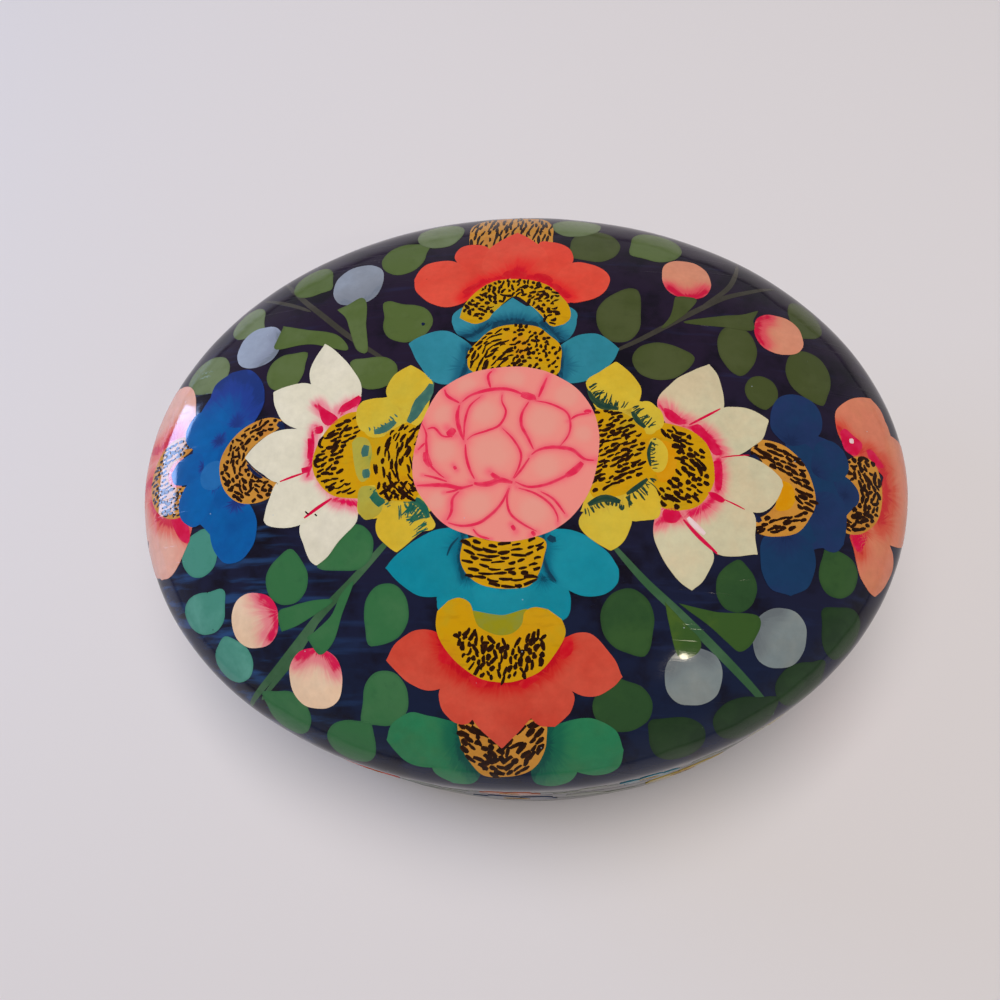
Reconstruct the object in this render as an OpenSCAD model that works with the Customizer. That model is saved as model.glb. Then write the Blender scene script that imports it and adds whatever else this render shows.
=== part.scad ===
// Oval papier-mache trinket box: a straight-sided base with a glued-in inner collar,
// and a lift-off lid made of a moulded dome glued on a band that slides over the collar.
// Millimetres, +Z up. The origin is the middle of the underside, the long axis is X.

/* [Outside] */
// Length of the oval body
body_l = 114; // [80:1:180]
// Width of the oval body
body_w = 90; // [64:1:150]
// Height of the base from the table to the seam
base_h = 23; // [16:0.5:60]
// Height of the lid's straight band
band_h = 13; // [10:0.5:40]
// Rise of the lid's dome above its band
dome_h = 16; // [8:0.5:30]
// Radius of the filed foot edge
foot_r = 2; // [0.5:0.25:2.5]
// Radius of the sanded edges that meet at the seam
seam_r = 0.5; // [0.2:0.05:0.8]

/* [Pulp board] */
// Thickness of the base's wall
wall_t = 3; // [2:0.1:4]
// Thickness of the floor board
floor_t = 2.6; // [2.1:0.1:5]
// Thickness of the moulded dome
dome_t = 2.7; // [1.8:0.1:4]

/* [Collar] */
// Thickness of the inner collar
collar_t = 1.6; // [1:0.1:2.5]
// Depth of the collar that is glued inside the base
collar_glued = 12; // [6:0.5:12.5]
// Height of the collar that stands up into the lid
collar_up = 7.5; // [4:0.5:9]
// Radius of the eased top edge of the collar
collar_r = 0.6; // [0.3:0.05:0.9]
// Glue line behind the collar
glue_line = 0.05; // [0.02:0.01:0.1]
// Play of the lid's band around the collar
lid_play = 0.35; // [0.25:0.05:0.8]

/* [Hidden] */
$fn = 96;

half_l = body_l / 2;
half_w = body_w / 2;
rim_z = base_h + band_h;

// How far the collar is set in from the body's oval, and what that leaves for the band
collar_in = wall_t + glue_line;
band_t = collar_in - lid_play;

// How far a cut runs past what it cuts
past = 1;

lacquer = "#1a1626";
rose = "#e88a6a";
pulp = "#8a7358";

// Repeats a quarter of the box in all four quarters of its oval plan
module four_quarters() {
    for (x = [0, 1], y = [0, 1])
        mirror([x, 0, 0])
            mirror([0, y, 0])
                children();
}

// Draws a round solid in to the oval that lies inset from the body's side all round.
// The round solid is as wide as the oval is long, and scale_z changes its height.
module draw_in(inset, scale_z = 1) {
    scale([1, (half_w - inset) / (half_l - inset), scale_z])
        children();
}

// Quarter of an oval block, turned from an outline of (distance from the axis, height)
module oval_quarter(inset) {
    draw_in(inset)
        rotate_extrude(angle = 90)
            children();
}

// Upright outline that reaches out to the inset, its lower and upper corners rounded
module block_outline(inset, bottom, top, low_r, high_r) {
    edge = half_l - inset;
    difference() {
        translate([0, bottom])
            square([edge, top - bottom]);
        if (low_r > 0)
            translate([edge - low_r, bottom + low_r])
                mirror([0, 1])
                    beyond_corner(low_r);
        if (high_r > 0)
            translate([edge - high_r, top - high_r])
                beyond_corner(high_r);
    }
}

// What a rounded upper corner leaves out, seen from the centre of its arc
module beyond_corner(r) {
    difference() {
        square(2 * r);
        circle(r);
    }
}

// Straight oval ring, open at both ends, its outer corners rounded
module oval_ring(inset, thick, bottom, top, low_r, high_r) {
    four_quarters()
        difference() {
            oval_quarter(inset)
                block_outline(inset, bottom, top, low_r, high_r);
            translate([0, 0, bottom - past])
                draw_in(inset + thick)
                    cylinder(r = half_l - inset - thick, h = top - bottom + 2 * past);
        }
}

// Whole ellipsoid over the inset oval, half of its height being the rise
module oval_ball(inset, rise) {
    long_r = half_l - inset;
    draw_in(inset, rise / long_r)
        sphere(long_r);
}

// Wall of the base: a strip of pulp board wound on an oval former, glued on the floor
module base_wall() {
    color(lacquer)
        oval_ring(0, wall_t, floor_t, base_h, 0, seam_r);
}

// Floor board under the wall, filed round at the foot
module base_floor() {
    color(lacquer)
        four_quarters()
            oval_quarter(0)
                block_outline(0, 0, floor_t, foot_r, 0);
}

// Collar glued inside the base's wall, standing up into the lid
module collar() {
    color(pulp)
        oval_ring(collar_in, collar_t, base_h - collar_glued, base_h + collar_up, 0, collar_r);
}

// Band of the lid: slides over the collar and stands on the rim of the base
module lid_band() {
    color(lacquer)
        oval_ring(0, band_t, base_h, rim_z, seam_r, 0);
}

// Moulded dome of the lid, an even shell glued on the band
module lid_crown() {
    color(rose)
        translate([0, 0, rim_z])
            four_quarters()
                intersection() {
                    difference() {
                        oval_ball(0, dome_h);
                        oval_ball(dome_t, dome_h - dome_t);
                    }
                    cube([half_l + past, half_w + past, dome_h + past]);
                }
}

base_wall();
base_floor();
collar();
lid_band();
lid_crown();
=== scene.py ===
"""Looks of an oval lacquered papier-mache box with a painted lift-off lid.

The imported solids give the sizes. Each shown surface is a grid worked out with numpy: lacquered skins
stand for the solids, and the painting lies on them in thin raised coats, each with a real edge.

Places in the painting are flat millimetres: how far a point lies from the top of the lid over its
skin, in its true direction, with X to the right and Y to the back. Past the rim the skin runs straight
down, so the same two numbers also reach every place on the side.
"""
import logging
from collections.abc import Callable, Sequence
from dataclasses import dataclass, field, replace
from enum import Enum, IntEnum

import bpy
import numpy as np
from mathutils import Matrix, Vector


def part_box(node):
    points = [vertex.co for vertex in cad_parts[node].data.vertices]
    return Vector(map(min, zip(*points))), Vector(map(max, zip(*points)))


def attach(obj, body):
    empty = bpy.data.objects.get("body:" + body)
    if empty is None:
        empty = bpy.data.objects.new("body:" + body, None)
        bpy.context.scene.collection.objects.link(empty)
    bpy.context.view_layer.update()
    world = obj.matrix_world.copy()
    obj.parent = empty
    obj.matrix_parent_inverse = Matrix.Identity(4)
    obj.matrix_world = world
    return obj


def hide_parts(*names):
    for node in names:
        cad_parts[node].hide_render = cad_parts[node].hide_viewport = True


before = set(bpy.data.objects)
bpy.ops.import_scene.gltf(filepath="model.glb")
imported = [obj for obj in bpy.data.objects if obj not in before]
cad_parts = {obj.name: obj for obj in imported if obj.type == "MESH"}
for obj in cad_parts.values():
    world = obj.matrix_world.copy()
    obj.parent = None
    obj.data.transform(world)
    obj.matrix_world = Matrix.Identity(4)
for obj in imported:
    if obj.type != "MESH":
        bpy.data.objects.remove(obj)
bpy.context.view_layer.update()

MM = 0.001

# Edges that turn by more than this many degrees are shaded as edges
SHARP_TURN = 50.0

Point = tuple[float, float]
Chart = Callable[[np.ndarray], np.ndarray]

# How far colour bleeds from a line, and the line's places
Bleed = tuple[float, tuple[Point, ...]]

LOG = logging.getLogger("painted_box")


class Body(Enum):
    """The two bodies that the pieces ride on."""

    BASE = "base"
    LID = "lid"


class Slot(Enum):
    """The record's material slots."""

    LID = "lid_lacquer"
    BASE = "base_lacquer"
    COLLAR = "collar_board"


class Layer(IntEnum):
    """Order in which the brush laid the colours, lowest first."""

    STEM = 1
    LEAF = 2
    BUD = 3
    FAR_PETAL = 4
    FAR_CROWN = 5
    OUTER_PETAL = 6
    OUTER_CROWN = 7
    MIDDLE_PETAL = 8
    MIDDLE_CROWN = 9
    INNER_PETAL = 10
    INNER_CROWN = 11
    ROSE = 12


def oval_reach(way: np.ndarray, long: float, wide: float) -> np.ndarray:
    """Distance from an oval's middle to its edge.

    The oval's formula is (x / long)^2 + (y / wide)^2 = 1, solved along each direction.

    Args:
        way: unit directions, shape (..., 2).
        long, wide: the oval's half axes.
    Returns:
        Distances, shape (...).
    """
    return 1 / np.hypot(way[..., 0] / long, way[..., 1] / wide)


@dataclass(frozen=True)
class OvalBody:
    """The oval form under the paint, in millimetres, and the way to lay flat places on it.

    Fields:
        half_long, half_wide: half axes of the body's oval.
        rise: height of the dome above the rim.
        rim_z, seam_z: heights of the dome's foot and of the seam.
        skin_depth: how far the bare skin lies inside the solid, which leaves room for the coats.
    """

    half_long: float
    half_wide: float
    rise: float
    rim_z: float
    seam_z: float
    skin_depth: float = 0.3

    @classmethod
    def from_frame(cls) -> "OvalBody":
        """Reads the oval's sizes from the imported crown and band."""
        low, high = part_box("lid_crown")
        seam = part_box("lid_band")[0].z
        return cls(high.x / MM, high.y / MM, (high.z - low.z) / MM, low.z / MM, seam / MM)

    def reach(self, way: np.ndarray, inset: float = 0.0) -> np.ndarray:
        """Distance from the axis to the oval, both of its half axes shortened by an inset."""
        return oval_reach(way, self.half_long - inset, self.half_wide - inset)

    def run(self, angle: np.ndarray, reach: np.ndarray) -> np.ndarray:
        """Distance over the dome from its top down to an angle of its quarter oval.

        It is the integral of sqrt((reach cos)^2 + (rise sin)^2), by Gauss's rule on 16 points.

        Args:
            angle: angle from the top, 0 to a quarter turn.
            reach: half width of the dome in that direction.
        Returns:
            Distances over the skin.
        """
        knots, weights = np.polynomial.legendre.leggauss(16)
        steps = angle[..., None] * (knots + 1) / 2
        slope = np.hypot(reach[..., None] * np.cos(steps), self.rise * np.sin(steps))
        return (slope * weights).sum(-1) * angle / 2

    def rim_run(self, way: np.ndarray) -> np.ndarray:
        """Distance over the skin from the top to the rim in each direction."""
        reach = self.reach(way)
        return self.run(np.full(reach.shape, np.pi / 2), reach)

    def swell(self, flat: np.ndarray) -> np.ndarray:
        """Hand-smoothed unevenness of the skin: four slow waves of a few hundredths each."""
        x, y = flat[..., 0], flat[..., 1]
        broad = 0.05 * np.sin(0.11 * x + 1.3) * np.sin(0.13 * y + 0.4)
        slanted = 0.022 * np.sin(0.31 * x - 0.17 * y + 2.1)
        return broad + slanted + 0.012 * np.sin(0.52 * y + 0.23 * x + 0.7) * np.sin(0.44 * x)

    def lay(self, flat: np.ndarray, lift: np.ndarray | float) -> np.ndarray:
        """Lays flat places on the box.

        The angle whose run equals the distance is found by Newton's steps, and what runs past the rim
        goes straight down. Each point then moves along the outward normal by its lift.

        Args:
            flat: places in millimetres, shape (..., 2).
            lift: height above the bare skin, in millimetres.
        Returns:
            Points in metres, shape (..., 3).
        """
        away = np.linalg.norm(flat, axis=-1)
        way = np.where(away[..., None] > 1e-9, flat / np.maximum(away, 1e-9)[..., None], (1.0, 0.0))
        reach = self.reach(way)
        edge = self.rim_run(way)
        angle = np.clip(away / edge, 0, 1) * np.pi / 2
        for _ in range(8):
            slope = np.hypot(reach * np.cos(angle), self.rise * np.sin(angle))
            angle = np.clip(angle - (self.run(angle, reach) - away) / slope, 0, np.pi / 2)
        drop = np.maximum(away - edge, 0)
        level = self.rise * np.cos(angle)
        ground = way * (reach * np.sin(angle))[..., None]
        flatness = np.square((self.half_long, self.half_wide))
        facing = np.concatenate([ground / flatness, (level / self.rise**2)[..., None]], -1)
        facing /= np.linalg.norm(facing, axis=-1, keepdims=True)
        height = np.asarray(lift - self.skin_depth + self.swell(flat))
        spot = np.concatenate([ground, (level - drop + self.rim_z)[..., None]], -1)
        return (spot + facing * height[..., None]) * MM

    def ring(self, way: np.ndarray, inset: float, z: float) -> np.ndarray:
        """Points in metres round the oval drawn in by an inset, at one height."""
        out = way * self.reach(way, inset)[..., None]
        return np.concatenate([out, np.full(out.shape[:-1] + (1,), z)], -1) * MM


def unit(turn: np.ndarray | float) -> np.ndarray:
    """Unit directions at angles in radians: (cos, sin)."""
    return np.stack([np.cos(turn), np.sin(turn)], -1)


def left_of(way: np.ndarray) -> np.ndarray:
    """Directions a quarter turn to the left: (-y, x)."""
    return np.stack([-way[..., 1], way[..., 0]], -1)


def as_is(places: np.ndarray) -> np.ndarray:
    """The chart of places that are flat already."""
    return places


def round_ways(count: int) -> np.ndarray:
    """Unit directions round the oval, evenly turned."""
    return unit(np.arange(count) * 2 * np.pi / count)


def smooth_curve(points: Sequence[Point], closed: bool, cell: float, least: int = 4) -> np.ndarray:
    """Runs a smooth curve through points, in even steps.

    Each stretch is a cubic whose slope at a point is half the step between its two neighbours. A
    point given twice makes a corner.

    Args:
        points: the points, in order.
        closed: whether the curve comes back to its first point.
        cell: wanted distance between steps.
        least: smallest number of steps.
    Returns:
        Points on the curve, shape (n, 2). An open curve includes both ends.
    """
    knots = np.asarray(points, float)
    if closed:
        before, start, end, after = (np.roll(knots, k, 0) for k in (1, 0, -1, -2))
    else:
        padded = np.concatenate([2 * knots[:1] - knots[1:2], knots, 2 * knots[-1:] - knots[-2:-1]])
        before, start, end, after = (padded[k : k + len(knots) - 1] for k in range(4))
    t = np.linspace(0, 1, 16, endpoint=False)[:, None, None]
    curve = 0.5 * (
        2 * start
        + (end - before) * t
        + (2 * before - 5 * start + 4 * end - after) * t**2
        + (3 * start - before - 3 * end + after) * t**3
    )
    curve = curve.transpose(1, 0, 2).reshape(-1, 2)
    curve = np.concatenate([curve, knots[:1] if closed else knots[-1:]])
    along = np.concatenate([[0], np.cumsum(np.linalg.norm(np.diff(curve, axis=0), axis=1))])
    count = max(least, round(along[-1] / cell))
    wanted = np.linspace(0, along[-1], count + (0 if closed else 1), endpoint=not closed)
    return np.stack([np.interp(wanted, along, curve[:, k]) for k in (0, 1)], -1)


def inside(points: np.ndarray, edge: np.ndarray) -> np.ndarray:
    """Tells which points lie inside a closed outline.

    A ray to the right crosses the outline an odd number of times from inside.

    Args:
        points: shape (n, 2).
        edge: the outline, shape (m, 2).
    Returns:
        True where a point is inside, shape (n,).
    """
    low, high = edge, np.roll(edge, -1, 0)
    x, y = points[:, None, 0], points[:, None, 1]
    spans = (low[:, 1] > y) != (high[:, 1] > y)
    rise = np.where(high[:, 1] == low[:, 1], 1e-12, high[:, 1] - low[:, 1])
    crossing = low[:, 0] + (y - low[:, 1]) * (high[:, 0] - low[:, 0]) / rise
    return (spans & (x < crossing)).sum(1) % 2 == 1


def edge_distance(points: np.ndarray, line: np.ndarray) -> np.ndarray:
    """Distance from each point to the nearest stretch of a line, shapes (n, 2), (m, 2) and (n,)."""
    start, step = line[:-1], np.diff(line, axis=0)
    rel = points[:, None] - start
    share = np.clip((rel * step).sum(-1) / np.maximum((step**2).sum(-1), 1e-12), 0, 1)
    return np.linalg.norm(rel - share[..., None] * step, axis=-1).min(1)


def stained(places: np.ndarray, lines: Sequence[Bleed]) -> np.ndarray:
    """Strength of the colour that bleeds from lines: exp(-(distance / bleeding)), the most of any line.

    Args:
        places: shape (n, 2).
        lines: how far each line bleeds, and its places.
    Returns:
        One value for each place, 0 where there are no lines.
    """
    strengths = [np.zeros(len(places))]
    for bleed, line in lines:
        strengths.append(np.exp(-edge_distance(places, smooth_curve(line, False, 0.3)) / bleed))
    return np.max(strengths, axis=0)


def shell_faces(rows: int, cols: int, poled: bool) -> tuple[np.ndarray, np.ndarray]:
    """Faces of a grid of points that closes on itself across its columns.

    Args:
        rows, cols: size of the grid.
        poled: with poles the points are numbered first pole, grid, last pole; without them the last
            row joins the first, as on a ring.
    Returns:
        Quads, shape (n, 4), and triangles, shape (m, 3).
    """
    first = int(poled)
    row, col = np.meshgrid(np.arange(rows - first), np.arange(cols), indexing="ij")
    next_row, next_col = (row + 1) % rows, (col + 1) % cols
    corners = [row * cols + col, row * cols + next_col, next_row * cols + next_col, next_row * cols + col]
    quads = first + np.stack(corners, -1).reshape(-1, 4)
    if not poled:
        return quads, np.empty((0, 3), int)
    ring = np.arange(cols)
    ahead = (ring + 1) % cols
    last = 1 + (rows - 1) * cols
    upper = np.stack([np.zeros_like(ring), 1 + ahead, 1 + ring], -1)
    lower = np.stack([np.full_like(ring, rows * cols + 1), last + ring, last + ahead], -1)
    return quads, np.concatenate([upper, lower])


def turned_out(points: np.ndarray, quads: np.ndarray, tris: np.ndarray) -> tuple[np.ndarray, np.ndarray]:
    """Returns the faces of a closed shell so that they look outwards: its volume is then positive."""
    triangles = np.concatenate([quads[:, :3], quads[:, [0, 2, 3]], tris])
    centred = points - points.mean(0)
    a, b, c = (centred[triangles[:, k]] for k in range(3))
    if np.einsum("ij,ij->", a, np.cross(b, c)) < 0:
        return quads[:, ::-1], tris[:, ::-1]
    return quads, tris


@dataclass
class Shells:
    """Closed shells gathered into one mesh, with a value of each mark at every point."""

    points: list[np.ndarray] = field(default_factory=list)
    quads: list[np.ndarray] = field(default_factory=list)
    tris: list[np.ndarray] = field(default_factory=list)
    marks: dict[str, list[np.ndarray]] = field(default_factory=dict)
    count: int = 0

    def add(
        self, points: np.ndarray, rows: int, cols: int, poled: bool, marks: dict[str, np.ndarray]
    ) -> None:
        """Adds shells of one layout.

        Args:
            points: shape (shells, points, 3), in metres.
            rows, cols, poled: the layout, as for shell_faces.
            marks: arrays of shape (shells, points) by name.
        """
        quads, tris = turned_out(points[0], *shell_faces(rows, cols, poled))
        starts = self.count + np.arange(len(points))[:, None, None] * points.shape[1]
        self.points.append(points.reshape(-1, 3))
        self.quads.append((quads + starts).reshape(-1, 4))
        self.tris.append((tris + starts).reshape(-1, 3))
        for name, values in marks.items():
            self.marks.setdefault(name, []).append(values.reshape(-1))
        self.count += points.shape[0] * points.shape[1]

    def make(
        self, name: str, body: Body, slot: Slot, material: bpy.types.Material,
        stands_for: Sequence[str] = ()
    ) -> bpy.types.Object:
        """Turns what was gathered into a piece that rides on its body.

        Args:
            name: the piece's name.
            body: what it rides on; slot: not used.
            material: its finish.
            stands_for: CAD nodes that it replaces.
        Returns:
            The new object.
        """
        mesh = bpy.data.meshes.new(name)
        faces = np.concatenate(self.quads).tolist() + np.concatenate(self.tris).tolist()
        mesh.from_pydata(np.concatenate(self.points).tolist(), [], faces)
        for mark, values in self.marks.items():
            layer = mesh.attributes.new(mark, "FLOAT", "POINT")
            layer.data.foreach_set("value", np.concatenate(values).astype(np.float32))
        mesh.materials.append(material)
        mesh.shade_smooth()
        mesh.set_sharp_from_angle(angle=np.radians(SHARP_TURN))
        piece = bpy.data.objects.new(name, mesh)
        bpy.context.scene.collection.objects.link(piece)
        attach(piece, body.value)
        if stands_for:
            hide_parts(*stands_for)
        LOG.info("%s: %d points, %d faces", name, self.count, len(faces))
        return piece


@dataclass(frozen=True)
class Petal:
    """One filled shape of paint.

    Fields:
        edge: places that its outline runs through.
        root: where the brush set down, from which its shading spreads.
        tip: its far end; an edge point at the tip becomes a corner.
        blunt: how much of the way to its neighbours a corner is cut off.
    """

    edge: tuple[Point, ...]
    root: Point
    tip: Point
    blunt: float = 0.08

    def outline(self, cell: float) -> np.ndarray:
        """Outline in even steps, with a small rounded corner at the tip."""
        edge = np.asarray(self.edge, float)
        knots = []
        for before, here, after in zip(np.roll(edge, 1, 0), edge, np.roll(edge, -1, 0)):
            corner = np.allclose(here, self.tip)
            knots += [here + self.blunt * (near - here) for near in (before, after)] if corner else [here]
        return smooth_curve(knots, True, cell, 20)


@dataclass(frozen=True)
class Leaf:
    """A round leaf with one small pointed end.

    Fields:
        centre: its middle.
        size: half its width and half its height.
        tip: the pointed end.
        horn: how wide the pointed end is, in radians.
    """

    centre: Point
    size: Point
    tip: Point
    horn: float = 0.3

    def petal(self) -> Petal:
        """The leaf as a filled shape.

        The radius is that of an oval, plus a bump of exp(-(turn / horn)^1.5) that reaches the tip.
        """
        turn = np.linspace(0, 2 * np.pi, 40, endpoint=False)
        to_tip = np.subtract(self.tip, self.centre)
        aim = np.arctan2(to_tip[1], to_tip[0])
        past = max(np.hypot(*to_tip) - oval_reach(unit(aim), *self.size), 0)
        off = np.abs((turn - aim + np.pi) % (2 * np.pi) - np.pi)
        reach = oval_reach(unit(turn), *self.size) + past * np.exp(-((off / self.horn) ** 1.5))
        edge = np.asarray(self.centre) + reach[:, None] * unit(turn)
        root = 2 * np.asarray(self.centre) - np.asarray(self.tip)
        return Petal(tuple(map(tuple, edge)), tuple(root), self.tip)


@dataclass
class Paint:
    """Paint of one colour, gathered stroke by stroke and laid on the box in raised coats.

    Fields:
        oval: the form it lies on.
        chart: turns the strokes' own places into flat ones.
        coat: height of one layer.
        sunk: how far each stroke's hidden underside lies in the skin.
        cell: wanted size of a face.
    """

    oval: OvalBody
    chart: Chart = as_is
    coat: float = 0.015
    sunk: float = 0.1
    cell: float = 0.45
    shells: Shells = field(default_factory=Shells)
    rng: np.random.Generator = field(default_factory=lambda: np.random.default_rng(7))

    def lay(
        self, grid: np.ndarray, lift: np.ndarray, ends: np.ndarray, end_lift: Sequence[float],
        rim: np.ndarray, root: np.ndarray, tip: np.ndarray, extra: dict[str, np.ndarray] | None = None
    ) -> None:
        """Lays closed strokes of one layout and marks each point for the finishes.

        The mark reach is the distance from the root as a share of the stroke's length, fan is the
        angle off its axis in half turns, rim runs from 0 inside to 1 at the edge, and tone is one
        random number for each stroke.

        Args:
            grid: places, shape (strokes, rows, cols, 2).
            lift: heights in millimetres, shape (rows, cols).
            ends: places of both poles, shape (strokes, 2, 2).
            end_lift: heights of both poles.
            rim: the rim mark, shape (rows, cols).
            root, tip: places, shape (strokes, 2).
            extra: further marks, shape (strokes, points).
        """
        strokes, rows, cols = grid.shape[:3]
        places = np.concatenate([ends[:, :1], grid.reshape(strokes, -1, 2), ends[:, 1:]], 1)
        heights = np.concatenate([[end_lift[0]], lift.reshape(-1), [end_lift[1]]])
        points = self.oval.lay(self.chart(places), np.broadcast_to(heights, places.shape[:2]))
        axis, rel = (tip - root)[:, None], places - root[:, None]
        length = np.linalg.norm(axis, axis=-1)
        turn = np.arctan2(
            axis[..., 0] * rel[..., 1] - axis[..., 1] * rel[..., 0], (axis * rel).sum(-1)
        )
        rims = np.concatenate([[0], rim.reshape(-1), [1]])
        marks = {
            "reach": np.linalg.norm(rel, axis=-1) / length,
            "fan": turn / np.pi,
            "rim": np.broadcast_to(rims, places.shape[:2]),
            "tone": np.broadcast_to(self.rng.random((strokes, 1)), places.shape[:2]),
            "stain": np.zeros(places.shape[:2]),
        }
        self.shells.add(points, rows, cols, True, marks | (extra or {}))

    def fan(
        self, middle: np.ndarray, spokes: np.ndarray, rings: int, layer: float, root: Point, tip: Point,
        marks: Callable[[np.ndarray], dict[str, np.ndarray]]
    ) -> None:
        """Fills a shape: rings spread from its middle, and the last one drops into the skin.

        Args:
            middle: its middle.
            spokes: steps from the middle to the outline, shape (n, 2).
            rings: number of rings.
            layer: the layer that it belongs to.
            root, tip: where the brush set down, and the far end.
            marks: works out further marks from the points' places.
        """
        share = np.append(np.arange(1, rings + 1) / rings, 1.0)
        grid = middle + share[:, None, None] * spokes
        top = layer * self.coat
        lift = np.full(grid.shape[:2], top)
        lift[-1] = -self.sunk
        rim = np.broadcast_to(share[:, None], lift.shape)
        ends = np.array([[middle, middle]])
        places = np.concatenate([[middle], grid.reshape(-1, 2), [middle]])
        extra = {name: values[None] for name, values in marks(places).items()}
        roots, tips = np.array([root], float), np.array([tip], float)
        self.lay(grid[None], lift, ends, (top, -self.sunk), rim, roots, tips, extra)

    def petal(self, petal: Petal, layer: float, stains: Sequence[Bleed] = ()) -> None:
        """Fills a drawn shape, its edge a little uneven.

        Args:
            petal: the shape.
            layer: the layer that it belongs to.
            stains: lines that strong colour bleeds from.
        """
        edge = petal.outline(self.cell)
        turn = np.linspace(0, 2 * np.pi, len(edge), endpoint=False)
        middle = edge.mean(0)
        phases = self.rng.random(2) * 6
        uneven = 1 + 0.006 * np.sin(5 * turn + phases[0]) + 0.005 * np.sin(9 * turn + phases[1])
        spokes = (edge - middle) * uneven[:, None]
        rings = max(3, round(np.linalg.norm(spokes, axis=1).max() / self.cell))
        self.fan(
            middle, spokes, rings, layer, petal.root, petal.tip,
            lambda places: {"stain": stained(places, stains)}
        )

    def strip(self, left: np.ndarray, right: np.ndarray, layer: float) -> None:
        """Fills the space between two lines that share their ends.

        Args:
            left, right: lines with the same number of steps, shape (n, 2).
            layer: the layer that it belongs to.
        """
        width = np.linalg.norm(left - right, axis=1).max()
        across = np.linspace(0, 1, max(3, round(width / self.cell) + 1))
        top = left[1:-1, None] + across[:, None] * (right - left)[1:-1, None]
        grid = np.concatenate([top, right[1:-1, None], left[1:-1, None]], 1)
        lift = np.full(grid.shape[:2], layer * self.coat)
        lift[:, -2:] = -self.sunk
        rim = np.append(np.abs(2 * across - 1), (1, 1))
        ends = np.array([[(left[0] + right[0]) / 2, (left[-1] + right[-1]) / 2]])
        root, tip = ends[:, 0], ends[:, 1]
        if np.linalg.norm(tip - root) < 1e-6:
            tip = tip + 1e-3
        self.lay(grid[None], lift, ends, (0, 0), np.broadcast_to(rim, lift.shape), root, tip)

    def crescent(self, outer: Sequence[Point], inner: Sequence[Point], layer: float) -> None:
        """Fills a crescent between its outer and its inner edge, which run the same way."""
        far = smooth_curve(outer, False, self.cell)
        near = smooth_curve(inner, False, self.cell)
        share = np.linspace(0, 1, max(len(far), len(near)))
        lines = [
            np.stack([np.interp(share, np.linspace(0, 1, len(line)), line[:, k]) for k in (0, 1)], -1)
            for line in (far, near)
        ]
        self.strip(lines[0], lines[1], layer)

    def stroke(self, points: Sequence[Point], width: float, layer: float, blunt: float = 0.5) -> None:
        """Draws one brush line along points.

        Its half width is width / 2 times sin(pi t)^blunt, so it swells from a fine start and runs
        out fine.

        Args:
            points: places that it passes through.
            width: widest width.
            layer: the layer that it belongs to.
            blunt: how fast it swells, small for blunt ends.
        """
        line = smooth_curve(points, False, max(self.cell * 0.8, width * 0.6), 5)
        run = np.gradient(line, axis=0)
        side = left_of(run) / np.linalg.norm(run, axis=1, keepdims=True)
        half = width / 2 * np.sin(np.pi * np.linspace(0, 1, len(line))) ** blunt
        self.strip(line + side * half[:, None], line - side * half[:, None], layer)

    def dabs(
        self, spots: np.ndarray, heading: np.ndarray, length: np.ndarray, width: np.ndarray,
        bow: np.ndarray, layer: float
    ) -> None:
        """Sets down many short dabs of the brush at once.

        A dab has four cross lines, each of its own random width, and its middle is pushed aside by
        its bow.

        Args:
            spots: middles, shape (n, 2).
            heading: directions in radians, shape (n,).
            length, width, bow: sizes in millimetres, shape (n,).
            layer: the layer that they belong to.
        """
        if not len(spots):
            return
        ahead = unit(heading)
        side = left_of(ahead)
        along = np.array([-0.4, -0.16, 0.14, 0.38])
        swell = np.array([0.62, 1.0, 0.95, 0.55]) * self.rng.uniform(0.75, 1.2, (len(spots), 4))
        push = bow[:, None] * np.array([0.3, 1.0, 0.9, 0.2])
        line = spots[:, None] + ahead[:, None] * (along * length[:, None])[..., None]
        line = line + side[:, None] * push[..., None]
        across = np.array([-0.5, 0, 0.5, 0.5, -0.5])
        offset = (swell * width[:, None])[..., None] * across
        grid = line[:, :, None] + side[:, None, None] * offset[..., None]
        lift = np.full((4, 5), layer * self.coat)
        lift[:, 3:] = -self.sunk
        ends = spots[:, None] + ahead[:, None] * (np.array([-0.5, 0.5]) * length[:, None])[..., None]
        rim = np.broadcast_to([1, 0, 1, 1, 1], (4, 5))
        middle = layer * self.coat * 0.6
        self.lay(grid, lift, ends, (middle, middle), rim, ends[:, 0], ends[:, 1])

    def make(
        self, name: str, body: Body, slot: Slot, material: bpy.types.Material
    ) -> bpy.types.Object:
        """Turns the gathered strokes into a piece."""
        return self.shells.make(name, body, slot, material)


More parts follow.
